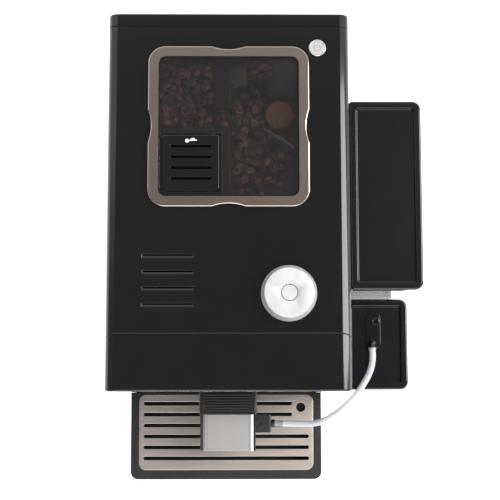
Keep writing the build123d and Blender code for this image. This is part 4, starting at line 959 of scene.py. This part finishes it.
# Spout trims: a strip in the black rubber finish down each rolled side of the sleeve, a painted
# reflection of the dark room in the rolled steel, and two thin black lines beside its flat top, as
# painted shade at the folds pressed into the metal.
sleeve_low, sleeve_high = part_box("spout_cover")
reflection_band_widths = (0.0036, 0.002)
reflection_band_end = 0.0016
reflection_band_foot = 0.02
reflection_band_rise = 0.0001
reflection_band_rounding = 0.45
fold_insets = (0.0082, 0.0078)
fold_width = 0.00035
fold_depth = 0.0002
fold_rise = 0.00003
fold_ends = (0.001, 0.0005)
fold_rounding = 0.2
left_reflection_band = (sleeve_low.x, sleeve_low.x + reflection_band_widths[0])
right_reflection_band = (sleeve_high.x - reflection_band_widths[1], sleeve_high.x)


def strip(name, across, along, up, edge):
    """A straight strip on the spout, with its edges rounded."""
    middle = [sum(pair) / 2 for pair in (across, along, up)]
    bpy.ops.mesh.primitive_cube_add(size=1, location=middle)
    piece = bpy.context.object
    piece.scale = [pair[1] - pair[0] for pair in (across, along, up)]
    bpy.ops.object.transform_apply(location=True, rotation=True, scale=True)
    eased(piece, edge, steps=4)
    finished(piece, name, soft_rubber, "spout")


# Painted reflection: black strips along the rolled sides, where the steel reflects dark
# surroundings.
for name, across in (("sleeve_dark_reflection_left", left_reflection_band), ("sleeve_dark_reflection_right", right_reflection_band)):
    along = (sleeve_low.y, sleeve_high.y)
    up = (sleeve_low.z + reflection_band_foot, sleeve_high.z + reflection_band_rise)
    strip(name, across, along, up, min(reflection_band_end, (across[1] - across[0]) * reflection_band_rounding))
# Painted shade: thin black lines along the folds beside the sleeve's top.
left_fold = sleeve_low.x + fold_insets[0]
right_fold = sleeve_high.x - fold_insets[1]
for name, place in (("sleeve_fold_shade_left", left_fold), ("sleeve_fold_shade_right", right_fold)):
    across = (place - fold_width / 2, place + fold_width / 2)
    along = (sleeve_low.y + fold_ends[0], sleeve_high.y - fold_ends[1])
    up = (sleeve_high.z - fold_depth, sleeve_high.z + fold_rise)
    strip(name, across, along, up, fold_width * fold_rounding)

# Drip grid: a brushed stainless plate with long slots, each edge eased by the press. It lies loose
# on the tray. The screws in the base are of steel too.
grid_steel = metal(
    "grid_steel", dark=(0.64, 0.565, 0.51), light=(0.80, 0.72, 0.66),
    roughness=0.3, spread=0.06, stretch=(25, 1400, 25), depth=0.1,
)
eased_copy("drip_grid", "grid_plate", grid_steel)
eased_copy("base_screws", "screw_heads", grid_steel, edge=0.0002)

# Vessels: blow-moulded clear plastic. The water tank stands on its dock, and the milk container on
# the worktop beside the body.
clear_plastic, _, clear_shader = shader_of("clear_plastic")
clear_shader.inputs["Base Color"].default_value = (0.93, 0.95, 0.96, 1)
clear_shader.inputs["Roughness"].default_value = 0.04
clear_shader.inputs["IOR"].default_value = 1.45
clear_shader.inputs["Alpha"].default_value = 0.14
for node, name in (("water_tank", "tank_walls"), ("milk_jug", "jug_walls")):
    eased_copy(node, name, clear_plastic, edge=0.0006)

# Vessel lids: satin black plastic, each with a flat rim and a sloping wall down to its floor. The
# elbow that takes the hose is moulded of the same plastic.
for node, name in (
    ("tank_lid", "tank_cover_plate"),
    ("milk_lid", "milk_cover_plate"),
    ("milk_elbow", "elbow_pipe"),
):
    eased_copy(node, name, satin_black, edge=0.0005)

# Inner parts, which only a gap or the open machine shows: grey and white mouldings, coated and cast
# metal, rubber and a board. They keep the shapes of the solids and get their finishes alone.
inner_grey = plastic(
    "inner_grey", dark=(0.2, 0.2, 0.21), light=(0.24, 0.24, 0.25),
    roughness=0.5, spread=0.06, grain=1200, depth=0.15,
)
inner_white = plastic(
    "inner_white", dark=(0.62, 0.62, 0.6), light=(0.7, 0.7, 0.68),
    roughness=0.4, spread=0.05, grain=1200, depth=0.1,
)
board_green = plastic(
    "board_green", dark=(0.02, 0.12, 0.05), light=(0.03, 0.16, 0.07),
    roughness=0.35, spread=0.05, grain=400, depth=0.2,
)
coated_metal = metal(
    "coated_metal", dark=(0.24, 0.24, 0.25), light=(0.3, 0.3, 0.31),
    roughness=0.45, spread=0.06, stretch=(300, 300, 300), depth=0.1,
)
cast_aluminium = metal(
    "cast_aluminium", dark=(0.5, 0.5, 0.51), light=(0.6, 0.6, 0.61),
    roughness=0.5, spread=0.08, stretch=(500, 500, 500), depth=0.3,
)
inner_finishes = {
    "frame_grey": inner_grey,
    "shelf_grey": coated_metal,
    "brew_white": inner_white,
    "board_green": board_green,
    "motor_grey": coated_metal,
    "burr_steel": cast_aluminium,
    "boiler_aluminium": cast_aluminium,
    "rubber_black": soft_rubber,
    "matt_black": grained_black,
}
slot_of_node = {row["node"]: row["material_slot"] for row in frame["record"]["subparts"]}
for node, cad_object in frame["nodes"].items():
    if cad_object.hide_render:
        continue
    cad_object.data.materials.clear()
    cad_object.data.materials.append(inner_finishes[slot_of_node[node]])
